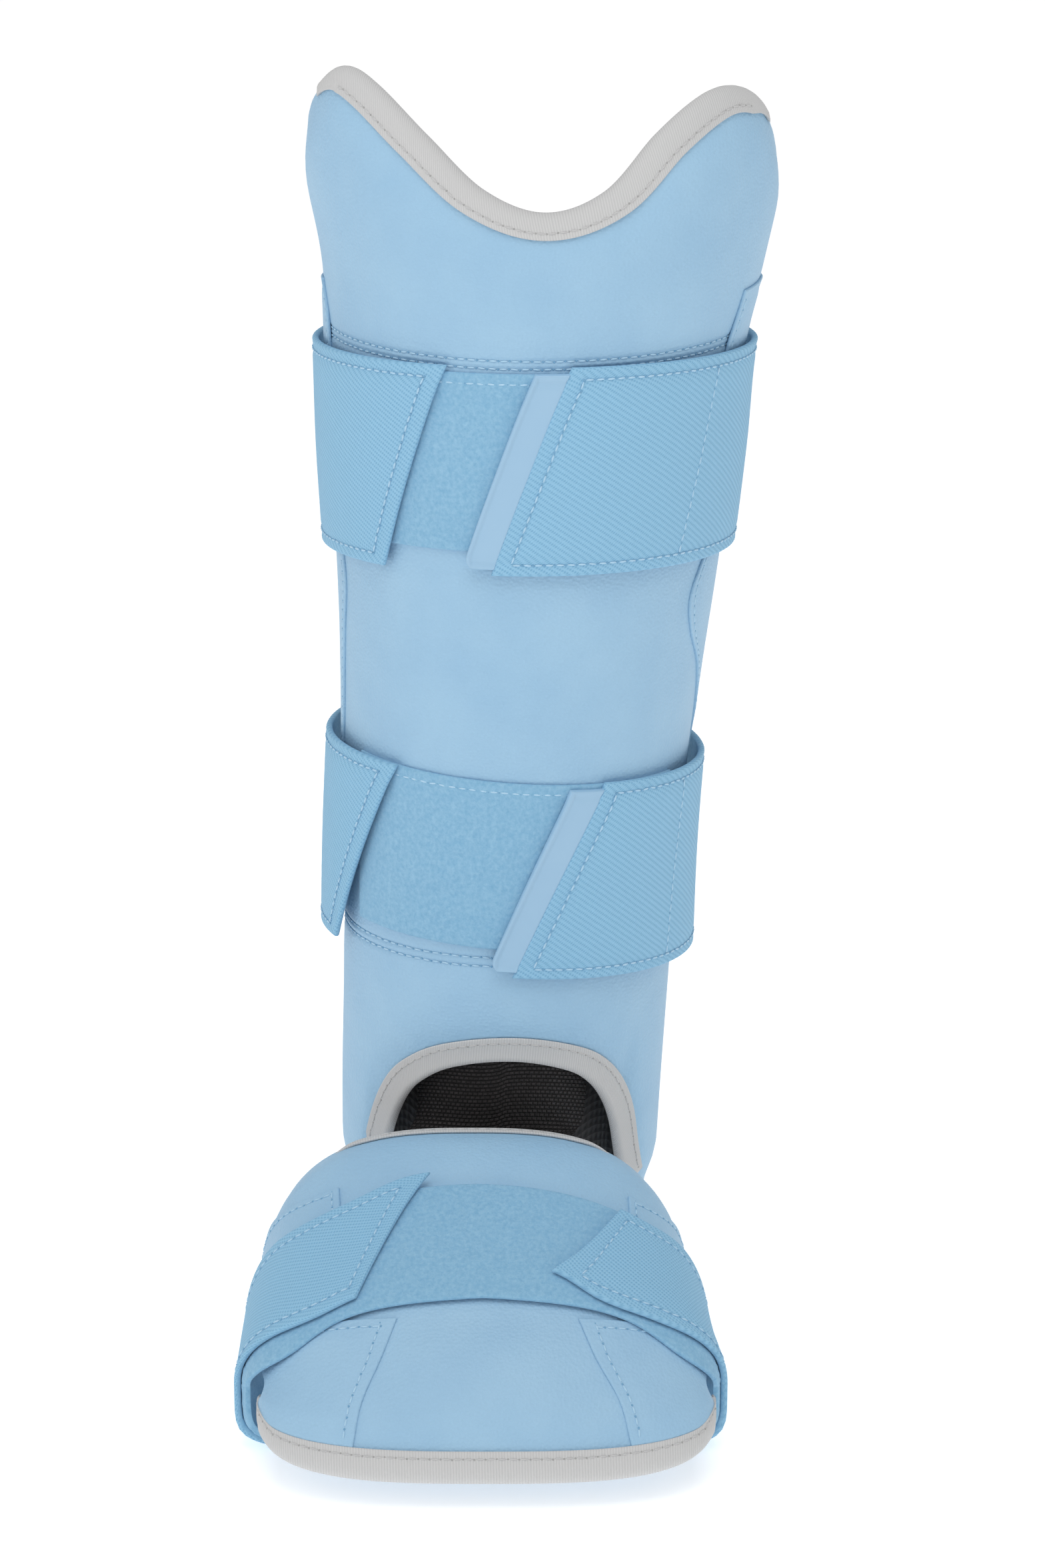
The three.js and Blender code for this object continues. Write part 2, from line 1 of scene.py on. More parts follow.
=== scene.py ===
# %% [markdown]
# # A batter's leg guard
# The guard is soft goods: leather sewn over foam, edge tape, webbing straps and loop pile. A fixed frame
# of plain solids already gives every piece its size and place. This lesson gives each of them its real
# surface, one step at a time. Lengths stay in millimetres until a mesh is made, because sewn goods are
# cut in millimetres, and heights are measured up from the toe edge.

# %% The fixed frame
import json
import math

import bmesh
import bpy
import numpy as np
from mathutils import Matrix, Vector
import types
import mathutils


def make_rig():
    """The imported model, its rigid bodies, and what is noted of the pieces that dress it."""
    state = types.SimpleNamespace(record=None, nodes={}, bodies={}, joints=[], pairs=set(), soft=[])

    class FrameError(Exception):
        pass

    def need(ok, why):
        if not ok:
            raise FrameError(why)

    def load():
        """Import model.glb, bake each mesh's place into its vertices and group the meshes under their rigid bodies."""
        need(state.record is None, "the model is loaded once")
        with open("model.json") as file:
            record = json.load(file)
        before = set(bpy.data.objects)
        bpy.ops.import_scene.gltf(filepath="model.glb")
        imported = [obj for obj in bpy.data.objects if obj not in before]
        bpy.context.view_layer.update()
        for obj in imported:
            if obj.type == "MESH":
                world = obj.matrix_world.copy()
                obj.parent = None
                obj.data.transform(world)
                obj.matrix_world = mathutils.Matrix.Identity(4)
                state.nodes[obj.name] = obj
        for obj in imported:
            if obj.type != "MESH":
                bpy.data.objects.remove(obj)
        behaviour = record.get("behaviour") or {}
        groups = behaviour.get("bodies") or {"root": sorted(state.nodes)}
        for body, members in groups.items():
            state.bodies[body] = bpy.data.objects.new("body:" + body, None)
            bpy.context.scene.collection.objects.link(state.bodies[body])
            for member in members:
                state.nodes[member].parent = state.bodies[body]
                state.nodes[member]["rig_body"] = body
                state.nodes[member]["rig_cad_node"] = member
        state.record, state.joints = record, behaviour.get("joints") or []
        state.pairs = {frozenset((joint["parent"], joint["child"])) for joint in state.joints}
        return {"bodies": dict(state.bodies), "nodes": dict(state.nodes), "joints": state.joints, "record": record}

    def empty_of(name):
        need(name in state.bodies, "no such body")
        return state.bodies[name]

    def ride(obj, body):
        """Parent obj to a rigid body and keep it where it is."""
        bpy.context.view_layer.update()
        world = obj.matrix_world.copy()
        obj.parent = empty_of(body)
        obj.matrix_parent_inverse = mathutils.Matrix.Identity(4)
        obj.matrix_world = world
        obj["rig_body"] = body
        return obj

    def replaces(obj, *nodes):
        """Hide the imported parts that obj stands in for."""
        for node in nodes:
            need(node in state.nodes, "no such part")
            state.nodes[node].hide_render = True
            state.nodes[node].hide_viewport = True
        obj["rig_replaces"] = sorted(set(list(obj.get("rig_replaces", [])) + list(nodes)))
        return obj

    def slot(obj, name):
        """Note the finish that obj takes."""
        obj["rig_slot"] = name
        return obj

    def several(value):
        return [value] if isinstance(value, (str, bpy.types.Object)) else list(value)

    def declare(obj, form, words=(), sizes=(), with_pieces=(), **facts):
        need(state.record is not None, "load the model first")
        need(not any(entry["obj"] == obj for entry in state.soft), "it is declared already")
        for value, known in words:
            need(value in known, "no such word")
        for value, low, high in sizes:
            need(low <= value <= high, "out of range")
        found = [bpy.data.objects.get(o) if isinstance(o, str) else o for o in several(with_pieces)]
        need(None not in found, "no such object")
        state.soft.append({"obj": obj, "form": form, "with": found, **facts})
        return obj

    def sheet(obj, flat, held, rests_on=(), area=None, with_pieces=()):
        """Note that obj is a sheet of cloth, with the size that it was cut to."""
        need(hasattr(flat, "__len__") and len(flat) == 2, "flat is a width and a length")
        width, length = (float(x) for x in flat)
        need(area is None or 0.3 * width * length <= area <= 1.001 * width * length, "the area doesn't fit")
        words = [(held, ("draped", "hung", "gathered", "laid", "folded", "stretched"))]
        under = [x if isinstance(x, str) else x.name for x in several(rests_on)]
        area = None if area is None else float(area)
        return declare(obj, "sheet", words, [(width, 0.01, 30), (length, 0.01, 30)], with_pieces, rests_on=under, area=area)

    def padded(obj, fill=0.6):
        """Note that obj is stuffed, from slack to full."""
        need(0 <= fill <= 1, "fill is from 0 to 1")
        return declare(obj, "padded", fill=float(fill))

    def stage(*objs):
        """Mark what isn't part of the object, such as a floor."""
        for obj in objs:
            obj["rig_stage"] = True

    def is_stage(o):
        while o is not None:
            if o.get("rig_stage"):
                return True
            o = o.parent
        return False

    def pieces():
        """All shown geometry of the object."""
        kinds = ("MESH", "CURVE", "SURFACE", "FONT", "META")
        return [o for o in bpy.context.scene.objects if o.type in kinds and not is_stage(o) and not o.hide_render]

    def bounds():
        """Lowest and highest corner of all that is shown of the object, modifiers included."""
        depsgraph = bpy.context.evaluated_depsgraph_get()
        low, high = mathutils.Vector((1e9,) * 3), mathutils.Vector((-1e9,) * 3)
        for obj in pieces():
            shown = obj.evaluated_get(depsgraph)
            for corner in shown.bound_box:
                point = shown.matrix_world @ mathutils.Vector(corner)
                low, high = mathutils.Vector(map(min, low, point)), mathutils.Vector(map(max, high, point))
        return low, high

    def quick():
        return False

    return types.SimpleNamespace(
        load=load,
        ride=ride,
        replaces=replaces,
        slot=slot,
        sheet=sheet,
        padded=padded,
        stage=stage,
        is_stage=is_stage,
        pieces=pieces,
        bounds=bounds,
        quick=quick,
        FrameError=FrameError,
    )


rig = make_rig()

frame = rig.load()
cad_box = [list(corner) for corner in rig.bounds()]
print("solids to dress:", len(frame["nodes"]))

# %% [markdown]
# ## Camera
# The photograph was taken with a long lens from just above the knee, tilted down. The focal length is
# known in pixels of the photograph, so the lens follows from the sensor: Blender's sensor width belongs
# to the longer side of the picture, which here is its height.

# %% Camera
SENSOR = 36
PHOTO_HEIGHT = 2352
FOCAL_PIXELS = 7500
CAMERA_PLACE, TILT_DOWN = (0, -1.4345, 0.3926), 17

scene = bpy.context.scene
camera = bpy.data.objects.new("camera", bpy.data.cameras.new("camera"))
camera.data.sensor_width = SENSOR
camera.data.lens = SENSOR * FOCAL_PIXELS / PHOTO_HEIGHT
camera.location = CAMERA_PLACE
camera.rotation_euler = (math.radians(90 - TILT_DOWN), 0, 0)
scene.collection.objects.link(camera)
scene.camera = camera
scene.view_settings.view_transform = "Standard"
print("lens:", round(camera.data.lens, 1), "mm")

# %% [markdown]
# ## Nodes and colours
# Every finish below is a small node tree. One function adds a node, sets it and links it, so a tree reads
# as a list. Colours are written as the hex values of a screen, and one function turns them to the linear
# light that the shader works in.

# %% Nodes and colours
def linear(hex_colour):
    """Linear RGBA of an sRGB hex colour."""
    parts = [int(hex_colour[i:i + 2], 16) / 255 for i in (1, 3, 5)]
    return [c / 12.92 if c <= 0.04045 else ((c + 0.055) / 1.055) ** 2.4 for c in parts] + [1]


def add(tree, kind, inputs=None, stops=(), into=None, **settings):
    """Adds one node: its settings, its inputs as values or links, a ramp's stops, and a link onward."""
    node = tree.nodes.new(kind)
    for name, value in settings.items():
        setattr(node, name, value)
    for socket, value in (inputs or {}).items():
        if isinstance(value, bpy.types.NodeSocket):
            tree.links.new(value, node.inputs[socket])
        else:
            node.inputs[socket].default_value = value
    for n, (place, colour) in enumerate(stops):
        node.color_ramp.elements[n].position = place
        node.color_ramp.elements[n].color = linear(colour)
    if into is not None:
        tree.links.new(node.outputs[0], into)
    return node


def finish_of(name, roughness, ior=1.5, sheen=0.0, sheen_roughness=0.5):
    """A new material, its node tree and its shader's sockets."""
    material = bpy.data.materials.new(name)
    material.use_nodes = True
    sockets = material.node_tree.nodes["Principled BSDF"].inputs
    sockets["Roughness"].default_value = roughness
    sockets["IOR"].default_value = ior
    sockets["Sheen Weight"].default_value = sheen
    sockets["Sheen Roughness"].default_value = sheen_roughness
    print("finish:", name)
    return material, material.node_tree, sockets


def per_metre(size):
    """Texture scale on Object coordinates that makes a cell of a stated size in millimetres."""
    return 1000 / size


def bands(pitch):
    """Wave texture scale on a map in millimetres that makes bands of a stated pitch."""
    return 2 * math.pi / 20 / pitch

# %% [markdown]
# ## Floor and studio light
# The photograph has a white ground and flat, soft light that is a little stronger from the left. A large
# pale floor, an even world light and three big area lights give that, with only a faint shadow.

# %% Floor and studio light
FLOOR_HEIGHT, FLOOR_HALF, FLOOR_GLOW = -0.2106, 90, 0.48
WORLD_LIGHT = 0.52
WHITE = (1, 1, 1, 1)

floor_mesh = bpy.data.meshes.new("floor")
bm = bmesh.new()
floor_place = Matrix.Translation((0, 0, FLOOR_HEIGHT))
bmesh.ops.create_grid(bm, x_segments=1, y_segments=1, size=FLOOR_HALF, matrix=floor_place)
bm.to_mesh(floor_mesh)
bm.free()
floor = bpy.data.objects.new("floor", floor_mesh)
scene.collection.objects.link(floor)
paper, tree, sockets = finish_of("white_paper", 0.9)
sockets["Base Color"].default_value = linear("#fbfbfb")
sockets["Emission Color"].default_value = WHITE
sockets["Emission Strength"].default_value = FLOOR_GLOW
floor_mesh.materials.append(paper)
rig.stage(floor)

world = bpy.data.worlds.new("studio")
world.use_nodes = True
world.node_tree.nodes["Background"].inputs["Color"].default_value = WHITE
world.node_tree.nodes["Background"].inputs["Strength"].default_value = WORLD_LIGHT
scene.world = world

for name, place, turn, watts, size in (
    ("left_softbox", (-1.5, -1.3, 1.1), (58, 0, -48), 6.3, 1.6),
    ("right_softbox", (1.6, -1.2, 0.9), (64, 0, 52), 1.4, 1.6),
    ("top_softbox", (0, -0.7, 1.5), (18, 0, 0), 10.6, 1.2),
):
    lamp = bpy.data.lights.new(name, "AREA")
    lamp.energy = watts
    lamp.size = size
    holder = bpy.data.objects.new(name, lamp)
    holder.location = place
    holder.rotation_euler = [math.radians(a) for a in turn]
    scene.collection.objects.link(holder)
print("floor at", FLOOR_HEIGHT, "m")

# %% [markdown]
# ## Padded leather
# The shells, wings and patches are soft synthetic leather: polyurethane film embossed with a fine pebble
# grain on a knitted backing. The eye sees a satin, even blue with a soft mottle, tiny pebbles and a few
# slack wrinkles. The real grain is about 0.7 mm and would vanish at this distance, so it is drawn at
# 1 mm. The grain has no direction, so it reads Object coordinates.

# %% Padded leather
leather, tree, sockets = finish_of("soft_leather", 0.55, ior=1.42)
spot = add(tree, "ShaderNodeTexCoord").outputs["Object"]
mottle = add(tree, "ShaderNodeTexNoise", {"Vector": spot, "Scale": per_metre(22), "Detail": 3})
add(tree, "ShaderNodeValToRGB", {"Fac": mottle.outputs["Fac"]},
    stops=((0.3, "#94bad6"), (0.7, "#9bc0da")), into=sockets["Base Color"])
pebble = add(tree, "ShaderNodeTexVoronoi", {"Vector": spot, "Scale": per_metre(1.0), "Randomness": 0.9})
crease = add(tree, "ShaderNodeTexNoise", {
    "Vector": spot, "Scale": per_metre(5), "Detail": 4, "Distortion": 0.6})
grain = add(tree, "ShaderNodeBump", {
    "Height": pebble.outputs["Distance"], "Strength": 0.4, "Distance": 0.0004})
add(tree, "ShaderNodeBump", {
    "Height": crease.outputs["Fac"], "Strength": 0.15, "Distance": 0.001,
    "Normal": grain.outputs["Normal"]}, into=sockets["Normal"])

# %% [markdown]
# ## Grosgrain tape
# The edges are bound with grosgrain: a polyester tape whose thick weft makes ribs straight across it.
# The eye sees fine ribs that turn with the edge, so the pattern reads the piece's own map, which is in
# millimetres along and across the tape. The ribs are about 0.55 mm apart and drawn at 0.8 mm.

# %% Grosgrain tape
grosgrain, tree, sockets = finish_of("grosgrain_tape", 0.75, ior=1.42, sheen=0.05)
flat_map = add(tree, "ShaderNodeUVMap", uv_map="millimetres").outputs["UV"]
ribs = add(tree, "ShaderNodeTexWave", {
    "Vector": flat_map, "Scale": bands(0.8), "Distortion": 0.6, "Detail": 1, "Detail Scale": 1.5},
    bands_direction="X")
add(tree, "ShaderNodeValToRGB", {"Fac": ribs.outputs["Fac"]},
    stops=((0, "#bcbcbc"), (1, "#c8c8c8")), into=sockets["Base Color"])
add(tree, "ShaderNodeBump", {
    "Height": ribs.outputs["Fac"], "Strength": 0.25, "Distance": 0.0004}, into=sockets["Normal"])

# %% [markdown]
# ## Loop pile
# The panels that the straps close on are the soft half of hook and loop: brushed nylon loops. The eye
# sees a matte felt with lighter and darker tufts a millimetre or two across and no shine.

# %% Loop pile
pile, tree, sockets = finish_of("loop_pile", 0.95, ior=1.4, sheen=0.1, sheen_roughness=0.7)
spot = add(tree, "ShaderNodeTexCoord").outputs["Object"]
tufts = add(tree, "ShaderNodeTexNoise", {
    "Vector": spot, "Scale": per_metre(1.2), "Detail": 4, "Roughness": 0.7})
add(tree, "ShaderNodeValToRGB", {"Fac": tufts.outputs["Fac"]},
    stops=((0.33, "#77a9ca"), (0.68, "#8fbbd6")), into=sockets["Base Color"])
add(tree, "ShaderNodeBump", {
    "Height": tufts.outputs["Fac"], "Strength": 0.35, "Distance": 0.0008}, into=sockets["Normal"])

# %% [markdown]
# ## Strap webbing
# The straps are heavy elastic webbing in a twill: yarns step over each other along a slanting line and
# show as rows of small beads. Two sets of bands across the piece's own map make the beads: strong slanted
# lines 1.3 mm apart, and weaker ones across them every 0.9 mm that break the lines into beads.

# %% Strap webbing
webbing, tree, sockets = finish_of("twill_webbing", 0.85, ior=1.4, sheen=0.06)
flat_map = add(tree, "ShaderNodeUVMap", uv_map="millimetres").outputs["UV"]
slanted = add(tree, "ShaderNodeMapping", {
    "Vector": flat_map, "Rotation": (0, 0, math.radians(28))}).outputs["Vector"]
twill = add(tree, "ShaderNodeTexWave", {
    "Vector": slanted, "Scale": bands(1.3), "Distortion": 0.5, "Detail": 1}, bands_direction="Y")
yarns = add(tree, "ShaderNodeTexWave", {
    "Vector": slanted, "Scale": bands(0.9), "Distortion": 0.5, "Detail": 1}, bands_direction="X")
beads = add(tree, "ShaderNodeMath", {
    0: yarns.outputs["Fac"], 1: 0.8, 2: twill.outputs["Fac"]}, operation="MULTIPLY_ADD")
add(tree, "ShaderNodeValToRGB", {"Fac": beads.outputs["Value"]},
    stops=((0.2, "#78aacb"), (1, "#90bfdc")), into=sockets["Base Color"])
add(tree, "ShaderNodeBump", {
    "Height": beads.outputs["Value"], "Strength": 0.35, "Distance": 0.0004}, into=sockets["Normal"])

# %% [markdown]
# ## Moulded tab
# The pull tabs are moulded thermoplastic polyurethane: smooth, with a satin shine that dulls a little
# where fingers rub. One soft noise drives both the roughness and the tint, so that dull spots are also
# a little paler.

# %% Moulded tab
moulded, tree, sockets = finish_of("moulded_polyurethane", 0.38)
spot = add(tree, "ShaderNodeTexCoord").outputs["Object"]
rubbed = add(tree, "ShaderNodeTexNoise", {"Vector": spot, "Scale": per_metre(9), "Detail": 3})
add(tree, "ShaderNodeMapRange", {
    "Value": rubbed.outputs["Fac"], "To Min": 0.32, "To Max": 0.48}, into=sockets["Roughness"])
add(tree, "ShaderNodeValToRGB", {"Fac": rubbed.outputs["Fac"]},
    stops=((0, "#93b8d4"), (1, "#9abdd7")), into=sockets["Base Color"])

# %% [markdown]
# ## Black nylon
# The tongue is black nylon in a basket weave of 1.5 mm yarns. Each yarn shows as a small brick, painted
# lighter as the highlight on its top, with a dark gap of painted shade round it, so a brick texture on the
# piece's own map draws the weave.

# %% Black nylon
nylon, tree, sockets = finish_of("basket_weave_nylon", 0.6, ior=1.4, sheen=0.02)
flat_map = add(tree, "ShaderNodeUVMap", uv_map="millimetres").outputs["UV"]
# the brick colours are painted light: the lighter yarn tops are a painted highlight and the near-black mortar is
# painted shade between the yarns
weave_with_painted_light = add(tree, "ShaderNodeTexBrick", {
    "Vector": flat_map, "Scale": 1, "Brick Width": 1.5, "Row Height": 1.25, "Mortar Size": 0.38,
    "Mortar Smooth": 1, "Color1": linear("#3a3637"), "Color2": linear("#2a2728"),
    "Mortar": linear("#040404")}, into=sockets["Base Color"])
add(tree, "ShaderNodeBump", {
    "Height": weave_with_painted_light.outputs["Fac"], "Strength": 0.8, "Distance": 0.0005}, into=sockets["Normal"], invert=True)

# %% [markdown]
# ## Spacer mesh
# The lining is a black knitted spacer mesh with rows of pores. A cell texture with little randomness
# sets a pore every 2.6 mm on the piece's own map.

# %% Spacer mesh
spacer, tree, sockets = finish_of("spacer_mesh", 0.85, sheen=0.2)
flat_map = add(tree, "ShaderNodeUVMap", uv_map="millimetres").outputs["UV"]
pores = add(tree, "ShaderNodeTexVoronoi", {"Vector": flat_map, "Scale": 1 / 2.6, "Randomness": 0.1})
add(tree, "ShaderNodeValToRGB", {"Fac": pores.outputs["Distance"]},
    stops=((0.1, "#0d0c0d"), (0.45, "#262324")), into=sockets["Base Color"])
add(tree, "ShaderNodeBump", {
    "Height": pores.outputs["Distance"], "Strength": 0.7, "Distance": 0.0008}, into=sockets["Normal"])

# %% [markdown]
# ## Thread and needle holes
# The thread is bonded polyester, and the needle holes between the threads are darker dots of painted shade.
# Both are too small for more than a fine noise between two tones.

# %% Thread and needle holes
threads, needle_hole_shades = {}, {}
# the second set of tones is painted shade: each needle hole is a dot coloured darker to stand in for the shade inside
# it
for kept, kind, look, size, tones in (
    (threads, "polyester_thread", dict(roughness=0.55, sheen=0.1), 1.5,
     {"blue": ("#a0c7e0", "#b4d4e8"), "grey": ("#b2b2b2", "#c4c4c4")}),
    (needle_hole_shades, "punched_backing", dict(roughness=0.9, ior=1.3), 1,
     {"blue": ("#6f9fc0", "#82afce"), "grey": ("#9c9c9b", "#aaaaa9")}),
):
    for colour, (low, high) in tones.items():
        kept[colour], tree, sockets = finish_of(f"{colour}_{kind}", **look)
        spot = add(tree, "ShaderNodeTexCoord").outputs["Object"]
        fibres = add(tree, "ShaderNodeTexNoise", {"Vector": spot, "Scale": per_metre(size), "Detail": 2})
        add(tree, "ShaderNodeValToRGB", {"Fac": fibres.outputs["Fac"]},
            stops=((0, low), (1, high)), into=sockets["Base Color"])

# %% [markdown]
# ## The leg's form
# A guard is cut flat and then bent round a leg. So each piece is drawn on a map of the leg: an angle round
# it from the front, a height, and a lift off the leather's face. The table gives the face's ellipse at
# each height, and a smooth curve is read through its rows.

# %% The leg's form
SIDE_BLEND = 0.4  # cosine of the angles between which the front's depth gives way to the back's

# height, centre, half width, depth to the front, depth to the back
LEG = np.array((
    (20, -7.5, 47.5, 47, 46), (60, -6.5, 48.6, 48.5, 48), (100, -4.8, 49.4, 50.2, 52),
    (140, -3.6, 50.6, 52.6, 57), (185, -0.9, 52.6, 55.6, 61), (225, 1.5, 55.7, 59, 64),
    (260, 2.6, 58.9, 61.5, 65), (290, 3.6, 60.9, 63.6, 65), (315, 6, 64.4, 65.6, 65),
    (345, 6, 70, 67.8, 66), (380, 4, 71.5, 68.5, 66)))


def read(rows, column, at):
    """Value of a table's column on a smooth curve through its rows, and straight on past its ends."""
    keys, values = rows[:, 0], rows[:, column]
    slope = np.diff(values) / np.diff(keys)
    tangent = np.concatenate((slope[:1], (slope[1:] + slope[:-1]) / 2, slope[-1:]))
    i = np.clip(np.searchsorted(keys, at) - 1, 0, len(keys) - 2)
    span = keys[i + 1] - keys[i]
    t = (at - keys[i]) / span
    inside = np.clip(t, 0, 1)
    bend_in = (tangent[i] - slope[i]) * span
    bend_out = (tangent[i + 1] - slope[i]) * span
    bend = inside * (1 - inside) * (bend_in * (1 - inside) - bend_out * inside)
    curve = values[i] + slope[i] * span * inside + bend
    return curve + np.minimum(t, 0) * tangent[i] * span + np.maximum(t - 1, 0) * tangent[i + 1] * span


def ease(x, low, high):
    """0 below low, 1 above high, and smooth between."""
    t = np.clip((x - low) / (high - low), 0, 1)
    return t * t * (3 - 2 * t)


def mix(a, b, share):
    """Value a share of the way from a to b."""
    return a + (b - a) * share


def leg_point(angle, height, lift):
    """Point on the leg's form, a stated lift outside the leather's face."""
    angle, height, lift = np.broadcast_arrays(np.asarray(angle, float), height, lift)
    centre, half, front, back = (read(LEG, column, height) for column in (1, 2, 3, 4))
    sine, cosine = np.sin(np.radians(angle)), np.cos(np.radians(angle))
    depth = mix(back, front, ease(cosine, -SIDE_BLEND, SIDE_BLEND))
    out = np.hypot(sine / half, cosine / depth)
    x = centre + half * sine + lift * sine / half / out
    return np.stack((x, -depth * cosine - lift * cosine / depth / out, height), axis=-1)


print("leg's form:", LEG[0, 0], "to", LEG[-1, 0], "mm high")

# %% [markdown]
# ## The foot hood's form
# The hood is an arch that runs from the ankle to the toes. Its map is an angle from the crown, which is
# 90 degrees at the two feet of the arch, and a distance along from the ankle rim.

# %% The foot hood's form
TOE = 124

# along, crown y, crown z, foot y, foot z, centre, half width, squareness
HOOD = np.array((
    (0, -55, 67.3, -46, 8, -15, 62.5, 2.8), (10, -65, 66, -57, 7, -14.5, 63, 2.8),
    (31, -85, 58.4, -79, 5.5, -13.5, 63.5, 2.7), (55, -106, 48.5, -101, 6, -12.5, 64, 2.6),
    (78, -126, 37.5, -116, 9, -11, 64.2, 2.6), (101, -145, 22.5, -122, 11.5, -10.5, 63.2, 2.7),
    (TOE, -162.5, 3.2, -127, 12, -10.2, 66.9, 2.95)))


def hood_face(across, along):
    """Point on the hood's leather face."""
    across, along = np.broadcast_arrays(np.asarray(across, float), along)
    section = (read(HOOD, column, along) for column in range(1, 8))
    crown_y, crown_z, foot_y, foot_z, centre, half, square = section
    sine, cosine = np.sin(np.radians(across)), np.maximum(np.cos(np.radians(across)), 0)
    rise = cosine ** (2 / square)
    x = centre + half * np.sign(sine) * np.abs(sine) ** (2 / square)
    return np.stack((x, mix(foot_y, crown_y, rise), mix(foot_z, crown_z, rise)), axis=-1)

# %% The foot hood's form: off its face
SIDEWAYS_FROM = 78  # angle from the crown at which the face's direction starts to turn sideways
NUDGE = 0.5  # small step for measuring a direction


def unit(v):
    """The same direction, one millimetre long."""
    return v / np.linalg.norm(v, axis=-1, keepdims=True)


def hood_outward(across, along):
    """Direction straight out of the hood's face, which turns sideways at its two feet."""
    across, along = np.broadcast_arrays(np.asarray(across, float), along)
    held = np.clip(across, -SIDEWAYS_FROM, SIDEWAYS_FROM)
    rightward = hood_face(held + NUDGE, along) - hood_face(held - NUDGE, along)
    onward = hood_face(held, along + NUDGE) - hood_face(held, along - NUDGE)
    sideways = np.sign(across)[..., None] * np.array((1, 0, 0))
    share = ease(np.abs(across), SIDEWAYS_FROM, 90)[..., None]
    return unit(mix(unit(np.cross(onward, rightward)), sideways, share))


def hood_point(across, along, lift):
    """Point a stated lift outside the hood's face."""
    across, along, lift = np.broadcast_arrays(np.asarray(across, float), along, lift)
    return hood_face(across, along) + hood_outward(across, along) * lift[..., None]


print("hood's form:", TOE, "mm from its ankle rim to its toe edge")

# %% [markdown]
# ## Closed sewn pieces
# Each piece has an outer and an inner face that meet at a rounded border, as a sewn pad or a thick strap
# does. Two grids are bent, one for each face, and merged along their shared border. The faces are set on
# the maps above, so no vertex list is written by hand. The grid's own distances in millimetres become
# the piece's flat map, which the woven finishes read.

# %% Closed sewn pieces: stations
BORDER_SHARES = np.array((0, 0.1, 0.35, 0.7))


def stations(length, border, step):
    """Places along a length, close together at its two rounded borders."""
    near = border * BORDER_SHARES
    middle = np.linspace(border, length - border, max(2, round((length - 2 * border) / step) + 1))
    return np.concatenate((near, middle, length - near[::-1]))


def rounded(inset, radius):
    """Share of the full height of a rounded border, from 0 at the edge to 1 a radius in."""
    return np.sqrt(1 - (1 - np.clip(inset / radius, 0, 1)) ** 2)


def run_along(points, axis=0):
    """Distance along a path, or along one way of a grid of points, from its start."""
    steps = np.linalg.norm(np.diff(points, axis=axis), axis=-1)
    return np.cumsum(np.insert(steps, 0, 0, axis=axis), axis=axis)

# %% Closed sewn pieces: two grids
ORIGIN = np.array((0, 0, 200))  # the frame's origin, in millimetres
MM = 0.001  # in metres
CUBIC_CM = 1e-6  # in cubic metres
MERGE_WITHIN = 1e-6  # in metres


def made(name, bm):
    """A smooth-shaded object of a finished bmesh."""
    mesh = bpy.data.meshes.new(name)
    volume = bm.calc_volume(signed=True) / CUBIC_CM
    bm.to_mesh(mesh)
    bm.free()
    mesh.shade_smooth()
    piece = bpy.data.objects.new(name, mesh)
    scene.collection.objects.link(piece)
    print(f"{name}: {len(mesh.polygons)} faces, {volume:.1f} cm3")
    return piece


def sewn(name, columns, rows, place):
    """Closed piece of two grids: place gives the points of its outer face (side 1) and inner one (side 0)."""
    bm = bmesh.new()
    flat_map = bm.loops.layers.uv.new("millimetres")
    station = bm.verts.layers.float_vector.new("station")
    wide, tall = len(columns) - 1, len(rows) - 1
    for side in (1, 0):
        grid = bmesh.ops.create_grid(bm, x_segments=wide, y_segments=tall, size=0.5)["verts"]
        points = place(np.asarray(columns)[:, None], np.asarray(rows)[None, :], side)
        run, rise = run_along(points, 0), run_along(points, 1)
        run, rise = run - run[[len(columns) // 2]], rise - rise[:, [len(rows) // 2]]
        spots = {v: (round((v.co.x + 0.5) * wide), round((v.co.y + 0.5) * tall)) for v in grid}
        faces = list({face for v in grid for face in v.link_faces})
        for v, spot in spots.items():
            v.co = (points[spot] - ORIGIN) * MM
            v[station] = columns[spot[0]], rows[spot[1]], side
        for loop in (loop for face in faces for loop in face.loops):
            loop[flat_map].uv = run[spots[loop.vert]], rise[spots[loop.vert]]
        if side == 0:
            bmesh.ops.reverse_faces(bm, faces=faces)
    bmesh.ops.remove_doubles(bm, verts=bm.verts, dist=MERGE_WITHIN)
    return made(name, bm)

# %% Closed sewn pieces: finish and place
def stations_of(piece):
    """Takes off a piece the column, row and side of each of its vertices."""
    notes = piece.data.attributes["station"]
    values = np.empty(3 * len(piece.data.vertices), np.float32)
    notes.data.foreach_get("vector", values)
    piece.data.attributes.remove(notes)
    return values.reshape(-1, 3).T.astype(float)


def dress(piece, material, slot, *nodes):
    """Gives a piece its finish and says which solid it stands for."""
    if "station" in piece.data.attributes:
        stations_of(piece)
    piece.data.materials.append(material)
    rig.ride(piece, "root")
    if nodes:
        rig.replaces(piece, *nodes)
    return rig.slot(piece, slot)

# %% [markdown]
# ## Thin sewn pieces
# Wings, patches, panels and straps are sheets a millimetre or two thick. They share one helper: it
# measures the sheet, rounds its border, and presses a shallow channel where a seam will run. The flat
# size of a sheet is measured on its form, as the cut that lies on it.

# %% Thin sewn pieces: their size
SIZE_SAMPLES, CUT_SAMPLES = 201, 61


def length_of(points):
    """Length of a path."""
    return float(np.linalg.norm(np.diff(points, axis=0), axis=-1).sum())


def sheet_size(surface):
    """Width and height in millimetres of a surface that is drawn on shares from 0 to 1."""
    share = np.linspace(0, 1, SIZE_SAMPLES)
    return length_of(surface(share, 0.5, 0)), length_of(surface(0.5, share, 0))


